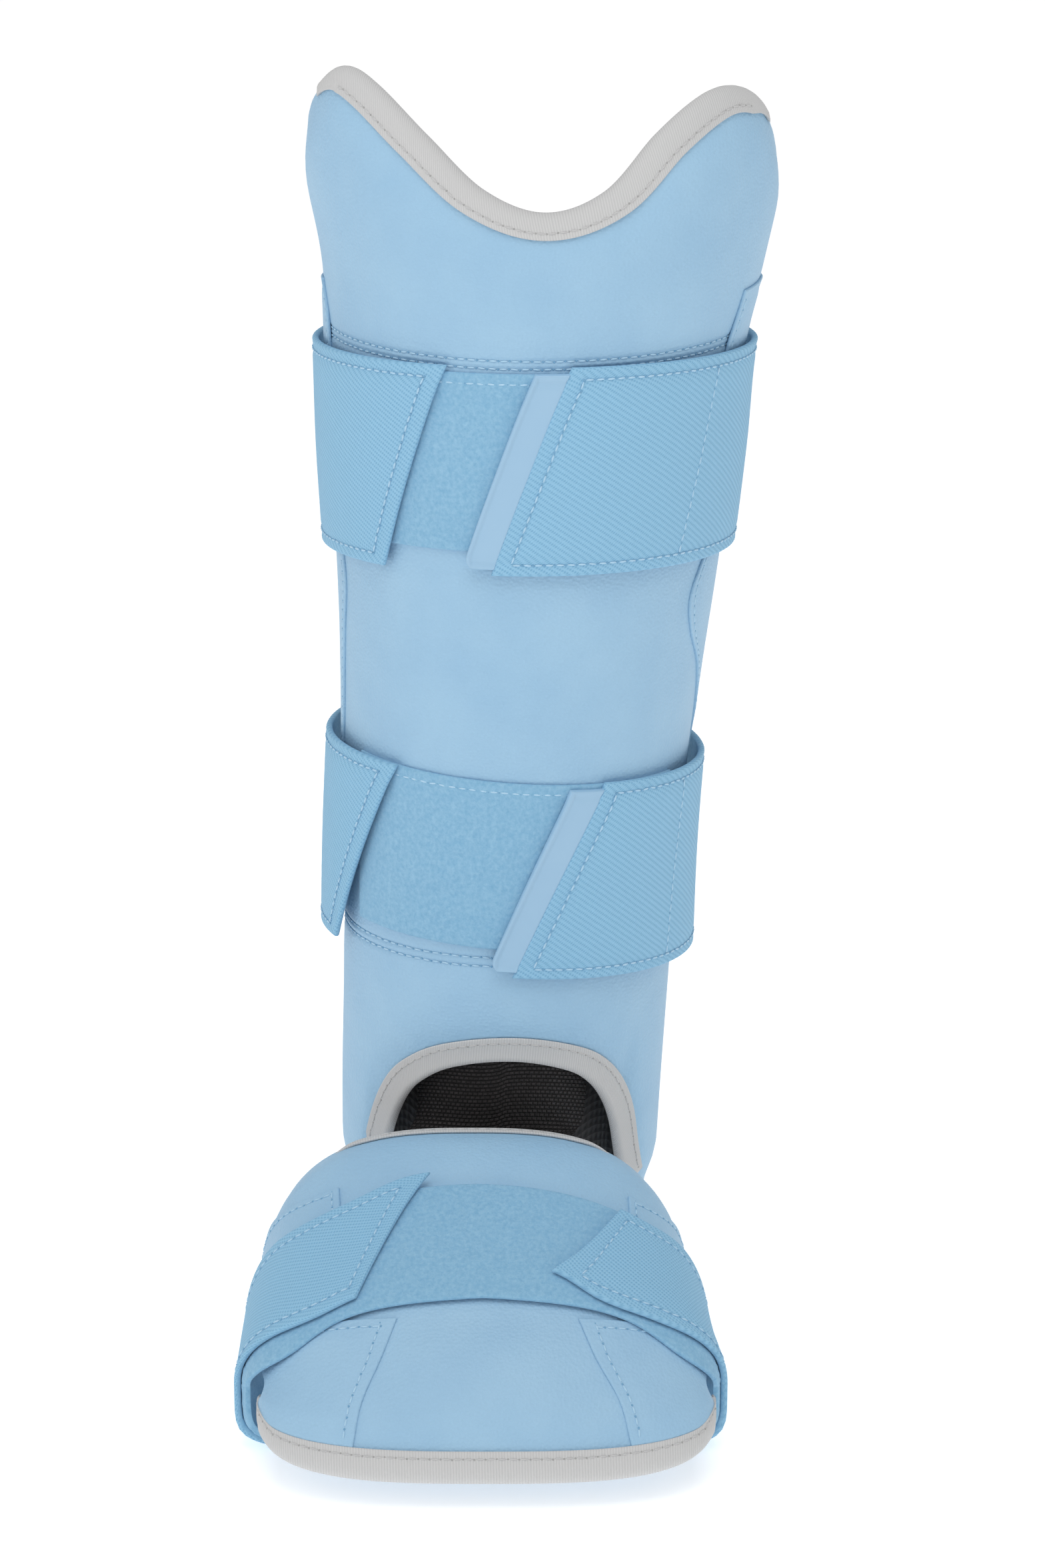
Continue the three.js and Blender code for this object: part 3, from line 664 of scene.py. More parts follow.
def cut_of(surface):
    """Flat size and area in metres of a sheet that is drawn on shares from 0 to 1."""
    share = np.linspace(0, 1, CUT_SAMPLES)
    grid = surface(share[:, None], share[None, :], 0) * MM
    wide, tall = np.diff(grid, axis=0), np.diff(grid, axis=1)
    size = [float(np.linalg.norm(way, axis=-1).sum(axis=k).max()) for k, way in enumerate((wide, tall))]
    area = float(np.linalg.norm(np.cross(wide[:, :-1], tall[:-1]), axis=-1).sum())
    return {"flat": size, "area": min(area, size[0] * size[1])}

# %% Thin sewn pieces: the sheet
CHANNEL = {"depth": 0.3, "half": 0.9}
chance = np.random.default_rng(7)


def hump(x, middle, half):
    """A smooth hump of height 1."""
    return np.exp(-(((x - middle) / half) ** 2))


def thin_piece(name, surface, lift, thick, step, seam=None, nap=0):
    """Sheet with a rounded border, a seam's channel at a stated inset, and a nap of loose pile."""
    wide, tall = sheet_size(surface)

    def place(s, t, side):
        inset = np.minimum(np.minimum(s, wide - s), np.minimum(t, tall - t))
        level = lift + thick / 2 + (side - 0.5) * thick * rounded(inset, thick / 2)
        if side and seam:
            level = level - CHANNEL["depth"] * hump(inset, seam, CHANNEL["half"])
        if side and nap:
            level = level + nap * np.minimum(inset, 1) * chance.normal(size=level.shape)
        return surface(s / wide, t / tall, level)

    return sewn(name, stations(wide, thick / 2, step), stations(tall, thick / 2, step), place)

# %% [markdown]
# ## Stitches
# A seam is a row of short threads, each a small stretched sphere that sits in the channel, with a darker
# flattened sphere between them as the painted shade of a needle hole. A real seam varies a little, so each
# thread is turned by a small seeded amount. One thread and its hole shade are made once and set along the
# path again and again.

# %% Stitches: one thread and its hole's painted shade
STITCH = {"long": 2.3, "pitch": 3.1, "thick": 0.62, "sway": 0.06}
# the hole is a small flattened sphere that carries the needle hole's painted shade
HOLE_SHADE = {"wide": 0.34, "high": 0.3, "sunk": 0.1}
BALL = {"u_segments": 6, "v_segments": 4, "radius": 1}
FACE_ORDER = Vector((1, 7.3, 53.1))  # a slanted line on which no two faces of a stitch are level

thread_size = Matrix.Diagonal((STITCH["thick"] / 2, STITCH["thick"] / 2, STITCH["long"] / 2, 1))
hole_shade_size = Matrix.Diagonal((HOLE_SHADE["wide"], HOLE_SHADE["high"], HOLE_SHADE["wide"], 1))
hole_shade_place = Matrix.Translation((0, -HOLE_SHADE["sunk"], STITCH["pitch"] / 2))
bm = bmesh.new()
bmesh.ops.create_uvsphere(bm, matrix=thread_size, **BALL)
hole_shade_dot = bmesh.ops.create_uvsphere(bm, matrix=hole_shade_place @ hole_shade_size, **BALL)["verts"]
for face in {face for v in hole_shade_dot for face in v.link_faces}:
    face.material_index = 1
# a new sphere lists its faces in another order each run, so they are sorted
bm.faces.sort(key=lambda face: face.calc_center_median().dot(FACE_ORDER))
one_stitch = bpy.data.meshes.new("one_stitch")
bm.to_mesh(one_stitch)
stitch_shape = np.array([v.co for v in bm.verts])
bm.free()
print("one stitch:", len(one_stitch.polygons), "faces")

# %% Stitches: rows
def at_run(points, run, places):
    """Points of a path at stated distances along it."""
    return np.stack([np.interp(places, run, points[:, k]) for k in range(3)], axis=-1)


def stitches(name, rows, colour, slot):
    """Rows of threads in one piece: each row is a surface, a path on it and the lift of its threads."""
    bm = bmesh.new()
    for surface, u, v, lift in rows:
        u, v = np.broadcast_arrays(np.asarray(u, float), np.asarray(v, float))
        path = surface(u, v, lift)
        above = surface(u, v, np.asarray(lift) + 1) - path
        run = run_along(path)
        count = max(1, int(run[-1] / STITCH["pitch"]))
        middles = (np.arange(count) + 0.5) * run[-1] / count
        ahead = unit(at_run(path, run, middles + NUDGE) - at_run(path, run, middles - NUDGE))
        for centre, along, out in zip(at_run(path, run, middles), ahead, at_run(above, run, middles)):
            side = unit(np.cross(out, along))
            along = unit(along + side * chance.normal(0, STITCH["sway"]))
            out = unit(np.cross(along, np.cross(out, along)))
            spots = (stitch_shape @ np.array((side, out, along)) + centre - ORIGIN) * MM
            one_stitch.vertices.foreach_set("co", spots.ravel())
            bm.from_mesh(one_stitch)
    piece = dress(made(name, bm), threads[colour], slot)
    # second material: the darker painted shade of the needle holes
    piece.data.materials.append(needle_hole_shades[colour])
    return piece

# %% [markdown]
# ## Shin shell
# The shell is one pad: foam between an outer leather and an inner one, sewn thin at the edges and through
# two quilted rows. Its rows follow the knee scoop at the top and the ankle arch at the bottom, and run
# level between, so that the quilted rows stay straight. The wall is 9 mm, 6 mm at its edges and 1.8 mm
# round the ankle arch.

# %% Shin shell: its edges
SHELL_WRAP = 100
PAD, PAD_EDGE, ARCH_EDGE, PAD_ROLL = 9, 6, 1.8, 14
ARC = math.radians(LEG[4, 2])  # millimetres for each degree round the middle of the shin

# angle, height
TOP_EDGE = np.array((
    (-100, 326), (-92, 344), (-80, 359), (-65, 370), (-55, 374.5), (-45, 370.9), (-30, 357.9), (-16, 343.9),
    (0, 337.6), (16, 343.4), (30, 358.4), (45, 367.7), (55, 369), (66, 365), (80, 353), (92, 340),
    (100, 324)))
ANKLE_EDGE = np.array((
    (-100, 40), (-90, 33), (-75, 29), (-63, 30), (-56, 36), (-50, 50), (-45, 60.5), (-38.7, 69.5),
    (-30, 76), (-20, 80.3), (2, 83.2), (22, 79.8), (33, 75), (42.7, 66.5), (49, 57), (54, 44.5),
    (61, 32.5), (70, 28), (90, 30.5), (100, 38)))


def edge_height(edge, angle):
    """Height of an edge at an angle."""
    return read(edge, 1, angle)


def edge_slope(edge, angle):
    """Rise of an edge for each millimetre round the leg."""
    return (edge_height(edge, angle + 1) - edge_height(edge, angle - 1)) / (2 * ARC)


def shin_inset(angle, height):
    """Distance in from the shell's nearest edge."""
    above = (height - edge_height(ANKLE_EDGE, angle)) / np.hypot(1, edge_slope(ANKLE_EDGE, angle))
    below = (edge_height(TOP_EDGE, angle) - height) / np.hypot(1, edge_slope(TOP_EDGE, angle))
    return np.minimum(np.minimum(above, below), (SHELL_WRAP - np.abs(angle)) * ARC)


def shin_roll(inset):
    """Lift of the leather's face near an edge, where the wall is sewn thin."""
    return (PAD_EDGE - PAD) * (1 - ease(inset, 0, PAD_ROLL))


print(f"knee scoop: {TOP_EDGE[:, 1].max() - edge_height(TOP_EDGE, 0.0):.0f} mm deep")

# %% Shin shell: its faces
LEVEL_FROM, LEVEL_TO = 105, 306
QUILTS = (113.5, 116.2, 294.5, 296.8)
QUILT_DENT, QUILT_HALF = 0.45, 0.8
QUILT_PULL, PULL_HALF = 0.3, 7


def shin_height(angle, row):
    """Height of a row: from the ankle edge for rows 0 to 1, level to 2, and on to the top edge at 3."""
    foot, top = edge_height(ANKLE_EDGE, angle), edge_height(TOP_EDGE, angle)
    low = mix(foot, LEVEL_FROM, np.clip(row, 0, 1))
    return mix(mix(low, LEVEL_TO, np.clip(row - 1, 0, 1)), top, np.clip(row - 2, 0, 1))


def quilt_dent(height):
    """Depth that the quilted seams pull the leather in."""
    pairs = np.mean(QUILTS[:2]), np.mean(QUILTS[2:])
    narrow = sum(hump(height, quilt, QUILT_HALF) for quilt in QUILTS)
    wide = sum(hump(height, pair, PULL_HALF) for pair in pairs)
    return QUILT_DENT * narrow + QUILT_PULL * wide


def shin_place(angle, row, side):
    """Point of the shell's outer or inner face."""
    height = shin_height(angle, row)
    inset = shin_inset(angle, height)
    above_ankle = height - edge_height(ANKLE_EDGE, angle)
    edge_wall = mix(ARCH_EDGE, PAD_EDGE, ease(above_ankle, PAD_ROLL, 3 * PAD_ROLL))
    wall = mix(edge_wall, PAD, ease(inset, 0, PAD_ROLL))
    middle = shin_roll(inset) - wall / 2
    half = wall / 2 * rounded(inset, edge_wall / 2)
    dent = quilt_dent(height) * ease(inset, 0, PAD_ROLL)
    return leg_point(angle, height, middle + half - dent if side else middle - half)

# %% Shin shell: its pad
LEVEL_STEP, SHIN_STEP = 3, 2.2
EDGE_ROWS, EDGE_CROWDING = 20, 1.5
QUILT_ROWS = np.linspace(-3, 3, 13)

near_edge = np.linspace(0, 1, EDGE_ROWS) ** EDGE_CROWDING
level = np.unique(np.concatenate((
    np.arange(LEVEL_FROM, LEVEL_TO + 1, LEVEL_STEP), *(quilt + QUILT_ROWS for quilt in QUILTS))))
level = (level[(level > LEVEL_FROM) & (level < LEVEL_TO)] - LEVEL_FROM) / (LEVEL_TO - LEVEL_FROM)
shin_rows = np.concatenate((near_edge, 1 + level, 3 - near_edge[::-1]))
shin_columns = stations(2 * SHELL_WRAP * ARC, PAD_EDGE / 2, SHIN_STEP) / ARC - SHELL_WRAP
shin_shell = sewn("shin_pad", shin_columns, shin_rows, shin_place)
shin_stations = stations_of(shin_shell)
dress(shin_shell, leather, "leather", "shin_shell")
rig.padded(shin_shell, fill=0.8)

# %% [markdown]
# ## Swelling the pads
# A sewn pad swells between its seams. Blender's cloth does that: the leather is a cloth with pressure
# inside, held where it is sewn, bound or covered, and free elsewhere. The mesh is already fine and even,
# so the cloth runs on it as it is. How far a point moves is then limited softly to a small amount,
# because foam holds the leather back.

# %% Swelling the pads
FOAM_PRESSURE, SWELL_FRAMES, SWELL_LIMIT = 1500, 20, 0.0013
COVER_MASS, COVER_STRETCH, COVER_BEND = 0.02, 15, 0.05
HOLD_LEVELS = 10
LEAST_MOVE = 1e-9


def swell(piece, freedom):
    """Runs the cloth on a pad whose vertices are free by a share from 0 to 1, and keeps the result."""
    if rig.quick():
        return
    rest = np.empty(3 * len(piece.data.vertices), np.float32)
    piece.data.vertices.foreach_get("co", rest)
    held = piece.vertex_groups.new(name="held")
    for level in range(HOLD_LEVELS + 1):
        members = np.nonzero(np.round(HOLD_LEVELS * freedom) == level)[0].tolist()
        held.add(members, 1 - level / HOLD_LEVELS, "REPLACE")
    cloth = piece.modifiers.new("swell", "CLOTH")
    cloth.settings.vertex_group_mass = held.name
    cloth.settings.use_pressure = True
    cloth.settings.uniform_pressure_force = FOAM_PRESSURE
    cloth.settings.effector_weights.gravity = 0
    cloth.settings.mass = COVER_MASS
    cloth.settings.tension_stiffness = cloth.settings.compression_stiffness = COVER_STRETCH
    cloth.settings.bending_stiffness = COVER_BEND
    cloth.collision_settings.use_collision = False
    cloth.point_cache.frame_end = SWELL_FRAMES
    for frame_number in range(1, SWELL_FRAMES + 1):
        scene.frame_set(frame_number)
    swollen = np.empty_like(rest)
    piece.evaluated_get(bpy.context.evaluated_depsgraph_get()).data.vertices.foreach_get("co", swollen)
    move = (swollen - rest).reshape(-1, 3)
    far = np.maximum(np.linalg.norm(move, axis=1, keepdims=True), LEAST_MOVE)
    move *= SWELL_LIMIT * np.tanh(far / SWELL_LIMIT) / far
    piece.modifiers.remove(cloth)
    piece.vertex_groups.remove(held)
    piece.data.vertices.foreach_set("co", rest + move.ravel())
    piece.data.update()
    scene.frame_set(1)
    print(f"{piece.name} swells up to {np.linalg.norm(move, axis=1).max() / MM:.2f} mm")

# %% Swelling the shin
BARE_TOP, BARE_MIDDLE, BARE_ANKLE = (298, 304), (172, 178, 229, 235), (105, 111)
BARE_INSET, BARE_ANGLE = (5, 14), (44, 57)


def between(x, start, full, fade, end):
    """1 from full to fade, 0 before start and past end, and smooth between."""
    return ease(x, start, full) * (1 - ease(x, fade, end))


angle, row, side = shin_stations
height = shin_height(angle, row)
bare = ease(height, *BARE_TOP) + between(height, *BARE_MIDDLE) + 1 - ease(height, *BARE_ANKLE)
bare = bare * side * ease(shin_inset(angle, height), *BARE_INSET)
swell(shin_shell, bare * (1 - ease(np.abs(angle), *BARE_ANGLE)))

# %% [markdown]
# ## Quilted seams
# Two pairs of seams hold the foam: one pair just above the upper strap and one just below the lower one.
# Each is a row of threads that lies in the dent it makes.

# %% Quilted seams
SEAM_WRAP, QUILT_POINTS, QUILT_LIFT = 88, 120, 0.15
seam_angles = np.linspace(-SEAM_WRAP, SEAM_WRAP, QUILT_POINTS)
quilt_rows = [(leg_point, seam_angles, quilt, QUILT_LIFT - float(quilt_dent(quilt))) for quilt in QUILTS]
stitches("shin_quilt_seams", quilt_rows, "blue", "leather")

# %% [markdown]
# ## Lining
# Behind the shell lies a thin padded lining of black spacer mesh. It leaves a pocket for the tongue at
# the ankle, and the quilted seams pull it in as well.

# %% Lining
LINING, LINING_CLEAR, LINING_WRAP = 3, 1.2, 90
LINING_FOOT, FOOT_RISES, LINING_BELOW_TOP = (32, 38), (60, 88), 15
LINING_LENGTH, LINING_STEP = 320, 3
TONGUE_POCKET, POCKET_ANGLE, POCKET_HEIGHT = 3.2, (66, 80), (120, 140)
TUCK, TUCK_HALF, TUCK_HEIGHTS = 0.9, 4, (115, 295.5)


def lining_place(angle, row, side):
    """Point of the lining's outer or inner face."""
    top = edge_height(TOP_EDGE, angle) - LINING_BELOW_TOP
    foot = mix(*LINING_FOOT, ease(np.abs(angle), *FOOT_RISES))
    height = mix(foot, top, row)
    pocket = (1 - ease(np.abs(angle), *POCKET_ANGLE)) * (1 - ease(height, *POCKET_HEIGHT))
    inset = np.minimum((LINING_WRAP - np.abs(angle)) * ARC, np.minimum(height - foot, top - height))
    half = LINING / 2 * rounded(inset, LINING / 2)
    tuck = sum(hump(height, quilt, TUCK_HALF) for quilt in TUCK_HEIGHTS)
    middle = -PAD - LINING_CLEAR - LINING / 2 - TONGUE_POCKET * pocket
    return leg_point(angle, height, middle + (half if side else -half + TUCK * tuck))


lining_columns = stations(2 * LINING_WRAP * ARC, LINING / 2, LINING_STEP) / ARC - LINING_WRAP
lining_rows = stations(LINING_LENGTH, LINING / 2, LINING_STEP) / LINING_LENGTH
lining = sewn("lining", lining_columns, lining_rows, lining_place)
dress(lining, spacer, "nylon", "shin_lining")
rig.padded(lining, fill=0.4)

# %% [markdown]
# ## Edge binding
# The tape is folded over the raw edge of the wall and sewn down. Its section is a hairpin: a leg inside,
# a half circle round the edge, and a leg outside. The section is swept along the edge, with the wall's
# own rounding followed at a small clearance. A seam runs 2 mm in from the tape's border.

# %% Edge binding: the hairpin section
TAPE, TAPE_CLEAR, TAPE_SEAM = 0.9, 0.08, 2.0
TAPE_BORDER, TAPE_STEP = 0.5, 0.9
FOLD = np.radians(np.linspace(-90, 90, 13))[1:-1]


def hairpin(width, pad, roll, edge_wall):
    """Section of a folded tape: inset, lift, which way its thickness goes, and its share of thickness."""
    half = edge_wall / 2
    leg = stations(width - half, TAPE_BORDER, TAPE_STEP)
    inset = np.concatenate((half + leg[::-1], half - half * np.cos(FOLD), half + leg))
    face = -roll * (1 - ease(half + leg, 0, PAD_ROLL))
    wall = mix(edge_wall, pad, ease(half + leg, 0, PAD_ROLL))
    lift = np.concatenate(((face - wall)[::-1], half * np.sin(FOLD) - half - roll, face))
    out_inset = np.concatenate((0 * leg, -np.cos(FOLD), 0 * leg))
    out_lift = np.concatenate((0 * leg - 1, np.sin(FOLD), 0 * leg + 1))
    full = rounded(width - inset, TAPE_BORDER)
    return np.stack((inset, lift, out_inset, out_lift, full), axis=-1)

# %% Edge binding: the sweep
SEAM_PART = slice(2, -2)  # a tape's seam stops two stations short of its ends


def swept_tape(name, columns, section, spot, face, cover, tuck=lambda column: 0 * column):
    """Tape swept along an edge.

    Spot gives the point at a column, an inset and a lift, and face the leather's lift. Cover widens or
    narrows the tape's outer leg, and tuck slips it under the leather.
    """
    ends = np.minimum(np.arange(len(columns)), np.arange(len(columns))[::-1])
    taper = dict(zip(columns, rounded(ends * 1.0, 1)))
    nose = section[section[:, 3] == 1, 0].min()

    def place(column, row, side):
        inset, lift, out_inset, out_lift, full = (section[row.astype(int), k] for k in range(5))
        outside = out_lift == 1
        inset = np.where(outside, nose + (inset - nose) * cover(column), inset)
        lift = np.where(outside, face(column, inset), lift)
        thick = TAPE_CLEAR + TAPE / 2 + (side - 0.5) * TAPE * full * np.vectorize(taper.get)(column)
        slip = tuck(column)
        lift = lift + thick * out_lift - slip * np.maximum(out_lift, 0)
        return spot(column, inset + thick * out_inset + slip, lift)

    return sewn(name, columns, np.arange(len(section)), place)


def tape_seam(columns, width, spot, face, cover):
    """Path of a tape's seam, on its outer leg."""
    inset = (width - TAPE_SEAM) * cover(columns)
    surface = lambda a, i, lift: spot(a, i, face(a, i) + TAPE_CLEAR + TAPE + lift)
    return surface, columns[SEAM_PART], inset[SEAM_PART], 0.0

# %% Edge binding: knee scoop and ankle arch
COVER_SEWN = 0.9  # the seam runs where the outer leg has at least this share of its width


def shin_edge_spot(edge, inward):
    """Gives the points near an edge of the shell: the inset is measured square to the edge."""
    def spot(angle, inset, lift):
        slope = edge_slope(edge, angle)
        length = np.hypot(1, slope)
        inset = inward * inset
        height = edge_height(edge, angle) + inset / length
        return leg_point(angle - inset * slope / length / ARC, height, lift)
    return spot


SHIN_TAPES = {
    "top": dict(edge=TOP_EDGE, inward=-1, width=6.2, edge_wall=PAD_EDGE, angles=np.linspace(-68, 73, 130),
                cover=lambda a: 1 - 0.85 * (1 - ease(a, -66, -54) + ease(a, 60, 71))),
    "ankle": dict(edge=ANKLE_EDGE, inward=1, width=7.6, edge_wall=ARCH_EDGE, angles=np.linspace(-56, 60, 130),
                  cover=lambda a: 1 + 0 * a),
}
seams = []
for name, tape in SHIN_TAPES.items():
    spot = shin_edge_spot(tape["edge"], tape["inward"])
    face = lambda angle, inset: shin_roll(inset + 0 * angle)
    section = hairpin(tape["width"], PAD, PAD - PAD_EDGE, tape["edge_wall"])[::tape["inward"]]
    piece = swept_tape(f"{name}_tape", tape["angles"], section, spot, face, tape["cover"])
    dress(piece, grosgrain, "binding", f"{name}_binding")
    sewn_angles = tape["angles"][tape["cover"](tape["angles"]) > COVER_SEWN]
    seams.append(tape_seam(sewn_angles, tape["width"], spot, face, tape["cover"]))
stitches("shin_tape_seams", seams, "grey", "binding")

# %% [markdown]
# ## Leather wings
# A leather wing lies on each side of the shell, with a stitched front edge. Its front edge is a curve on
# the leg's map, and its back edge is straight.

# %% Leather wings
LEATHER, LAID, LEATHER_STEP = 1.1, -0.3, 2.5
LEATHER_SEAM = LAID + LEATHER - 0.2  # lift of threads that are sunk a little in the leather
WING_BACK, WING_SEAM = 93, 2.6
WING_SEAM_PATH = np.linspace(0.02, 0.98, 90)

# height, front edge on the left, front edge on the right
WING_EDGES = np.array((
    (150, 82, 89), (175, 79, 87), (196, 77, 74), (208, 75, 63), (220, 72, 58.5), (236, 74, 66), (265, 74, 65),
    (293, 75, 62.5), (302, 77, 64), (310, 82, 65)))


def wing_surface(side):
    """A wing on shares: s runs rightward and t up."""
    def surface(s, t, lift):
        height = mix(WING_EDGES[0, 0], WING_EDGES[-1, 0], t)
        front = read(WING_EDGES, 1 if side < 0 else 2, height)
        angle = side * mix(front, WING_BACK, 1 - s if side < 0 else s)
        return leg_point(angle, height, shin_roll(shin_inset(angle, height)) + lift)
    return surface


for side, name in ((-1, "left"), (1, "right")):
    surface = wing_surface(side)
    wide, tall = sheet_size(surface)
    wing = thin_piece(f"{name}_side_wing", surface, LAID, LEATHER, LEATHER_STEP, seam=WING_SEAM)
    dress(wing, leather, "leather", f"{name}_wing")
    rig.sheet(wing, held="laid", rests_on=["shin_shell"], **cut_of(surface))
    front = WING_SEAM / wide if side > 0 else 1 - WING_SEAM / wide
    rows = [(surface, front, WING_SEAM_PATH, LEATHER_SEAM)]
    stitches(f"{name}_wing_seam", rows, "blue", "leather")

# %% [markdown]
# ## Loop panels
# Each calf strap closes on a panel of loop pile that is sewn to the front of the shell. The pile is a
# thick nap, so its face is roughened by a small seeded amount at about every millimetre.

# %% Loop panels
LOOP_PILE, LOOP_LAID, LOOP_WRAP, LOOP_STEP, LOOP_NAP = 1.5, -0.2, 60, 1.1, 0.07
PANEL_SEAM = 1 - 3 / 52  # 3 mm below the top of a panel 52 mm high
PANEL_SEAM_PATH = np.linspace(0.04, 0.96, 90)
SUNK = 0.1  # how deep threads sink in the pile and the webbing
CALF_STRAPS = {
    "lower": dict(low=111, high=171.5, drop=2, roll=-3.5, stand_off=1.7, loop=(119, 171),
                  left=(-67.8, -39.6), right=(1.5, 28.7), tab=(-7.1, 17.9), row=(58, 63)),
    "upper": dict(low=234.5, high=295.5, drop=4, roll=0, stand_off=0.7, loop=(241, 293.5),
                  left=(-43.9, -23.6), right=(-10.6, 8.9), tab=(-19.3, 0.2), row=(44, 55)),
}


def strap_sag(strap, angle):
    """Drop of a strap's line as it runs round the calf."""
    turn = np.radians(angle)
    return strap["drop"] * (1 - np.cos(turn)) - strap["roll"] * np.sin(turn)


for name, strap in CALF_STRAPS.items():
    def surface(s, t, lift, strap=strap):
        angle = mix(-LOOP_WRAP, LOOP_WRAP, s)
        return leg_point(angle, mix(*strap["loop"], t) - strap_sag(strap, angle), lift)
    panel = thin_piece(f"{name}_pile_panel", surface, LOOP_LAID, LOOP_PILE, LOOP_STEP, nap=LOOP_NAP)
    dress(panel, pile, "loop", f"{name}_loop_panel")
    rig.sheet(panel, held="laid", rests_on=["shin_shell"], **cut_of(surface))
    rows = [(surface, PANEL_SEAM_PATH, PANEL_SEAM, LOOP_LAID + LOOP_PILE - SUNK)]
    stitches(f"{name}_panel_seam", rows, "blue", "loop")

# %% [markdown]
# ## Calf straps
# Each strap is a whole loop of webbing. It starts at the pull tab at the front, goes off to the right
# round the calf and comes back to the front left. Both ends are cut at a slant. Seams run along both
# edges, along both ends, and where the hook pad ends on the inside.

# %% Calf straps: their line
STRAP, STRAP_CLEAR = 2, 1.4
STRAP_PRESS, PRESS_FROM = 1.2, 0.88  # how far the upper edge bends in over the panel's edge, and where


def strap_point(strap, angle, share, lift):
    """Point on a calf strap: share runs up its width."""
    turn = np.radians(angle)
    stand_off = strap["stand_off"] * np.sin(turn) ** 2 * (2 - share)
    height = mix(strap["low"], strap["high"], share) - strap_sag(strap, angle)
    press = STRAP_PRESS * ease(share, PRESS_FROM, 1) * np.maximum(np.cos(turn), 0)
    return leg_point(angle, height, STRAP_CLEAR + stand_off - press + lift)

# %% Calf straps: inner face and seams
STRAP_SEAM, END_SEAM = 3.6, 5
LONG_POINTS, SHORT_POINTS = 300, 40


def lined_with_pile(strap):
    """Gives the inner face of a strap, the second of its two grids, the finish of the pile."""
    strap.data.materials.append(pile)
    half = len(strap.data.polygons) // 2
    strap.data.polygons.foreach_set("material_index", [0] * half + [1] * half)


def strap_seams(surface, *inside_ends):
    """Rows of thread along a strap's edges, across its ends, and where a hook pad ends on its inside."""
    wide, tall = sheet_size(surface)
    print(f"strap: {wide:.0f} x {tall:.0f} mm")
    edge, end = STRAP_SEAM / tall, END_SEAM / wide
    whole, across = np.linspace(end, 1 - end, LONG_POINTS), np.linspace(edge, 1 - edge, SHORT_POINTS)
    rows = [(surface, whole, share, STRAP - SUNK) for share in (edge, 1 - edge)]
    rows += [(surface, share, across, STRAP) for share in (end, 1 - end)]
    return rows + [(inside_end, 0, across, STRAP) for inside_end in inside_ends]

# %% Calf straps: the two loops
STRAP_STEP = 2.6


def strap_surface(strap):
    """A calf strap on shares: s runs round the calf from its right end, and t up."""
    def surface(s, t, lift):
        angle = mix(mix(*strap["right"], t), mix(*strap["left"], t) + 360, s)
        return strap_point(strap, angle, t, lift)
    return surface


for name, strap in CALF_STRAPS.items():
    surface = strap_surface(strap)
    band = thin_piece(f"{name}_calf_strap", surface, 0, STRAP, STRAP_STEP, seam=STRAP_SEAM)
    dress(band, webbing, "strap", f"{name}_strap")
    lined_with_pile(band)
    inside_end = lambda s, t, lift, strap=strap: strap_point(strap, mix(*strap["row"], t), t, lift)
    stitches(f"{name}_strap_seams", strap_seams(surface, inside_end), "blue", "strap")

# %% [markdown]
# ## Pull tabs
# A pull tab is a stiff moulded strip on the strap's front end. It has a low raised rim on its free sides
# and a rounded lower corner. Its face is left bare.

# %% Pull tabs
TAB, TAB_WIDE, TAB_LONG, TAB_TUCK, TAB_REACH = 1.7, 10, 57, 0.5, (0.03, 0.97)
TAB_RIM, TAB_RIM_WIDE, RIM_FADE = 0.6, 1.2, 0.5
TAB_CORNER, TAB_ROUND, TAB_STEPS = 4.5, 0.6, (0.4, 0.8)


def tab_surface(strap):
    """A tab on shares: s runs from its free side to its sewn one, and t up."""
    def surface(s, t, lift):
        share = mix(*TAB_REACH, t)
        free, sewn_end = mix(*strap["tab"], share), mix(*strap["right"], share) + TAB_TUCK / ARC
        from_foot = np.minimum(t * TAB_LONG, TAB_CORNER)
        cut = (TAB_CORNER - np.sqrt(TAB_CORNER ** 2 - (TAB_CORNER - from_foot) ** 2)) / TAB_WIDE
        return strap_point(strap, mix(free, sewn_end, cut + (1 - cut) * s), share, lift)
    return surface


for name, strap in CALF_STRAPS.items():
    surface = tab_surface(strap)
    wide, tall = sheet_size(surface)

    def place(s, t, side, surface=surface, wide=wide, tall=tall):
        free = np.minimum(s, np.minimum(t, tall - t))
        inset = np.minimum(free, wide - s)
        rim = TAB_RIM * (1 - ease(free, TAB_RIM_WIDE, TAB_RIM_WIDE + RIM_FADE))
        half = TAB / 2 * rounded(inset, TAB_ROUND)
        lift = half + rim * rounded(inset, TAB_ROUND) if side else -half
        return surface(s / wide, t / tall, TAB / 2 + lift)

    columns, rows = (stations(size, TAB_ROUND, step) for size, step in zip((wide, tall), TAB_STEPS))
    tab = sewn(f"{name}_moulded_tab", columns, rows, place)
    dress(tab, moulded, "tab", f"{name}_pull_tab")

# %% [markdown]
# ## Ankle tongue
# The hood hangs from the shell on a tongue of black nylon. It is sewn inside the shell, bends forward at
# the ankle on a smooth curve, and is sewn under the hood.

# %% Ankle tongue
TONGUE, TONGUE_STEP = 1.6, 2
TONGUE_WRAP = {"leg": 43, "hood": 20}
TONGUE_LIFT = {"leg": -12.8, "hood": -11.8}
ON_HOOD, ON_LEG = (32.0, -4.0), (62.0, 116.0)  # along under the hood, and height inside the shell
BEND_HOOD, BEND_LEG = -12.0, 50.0  # the places that the bend aims at from its two ends


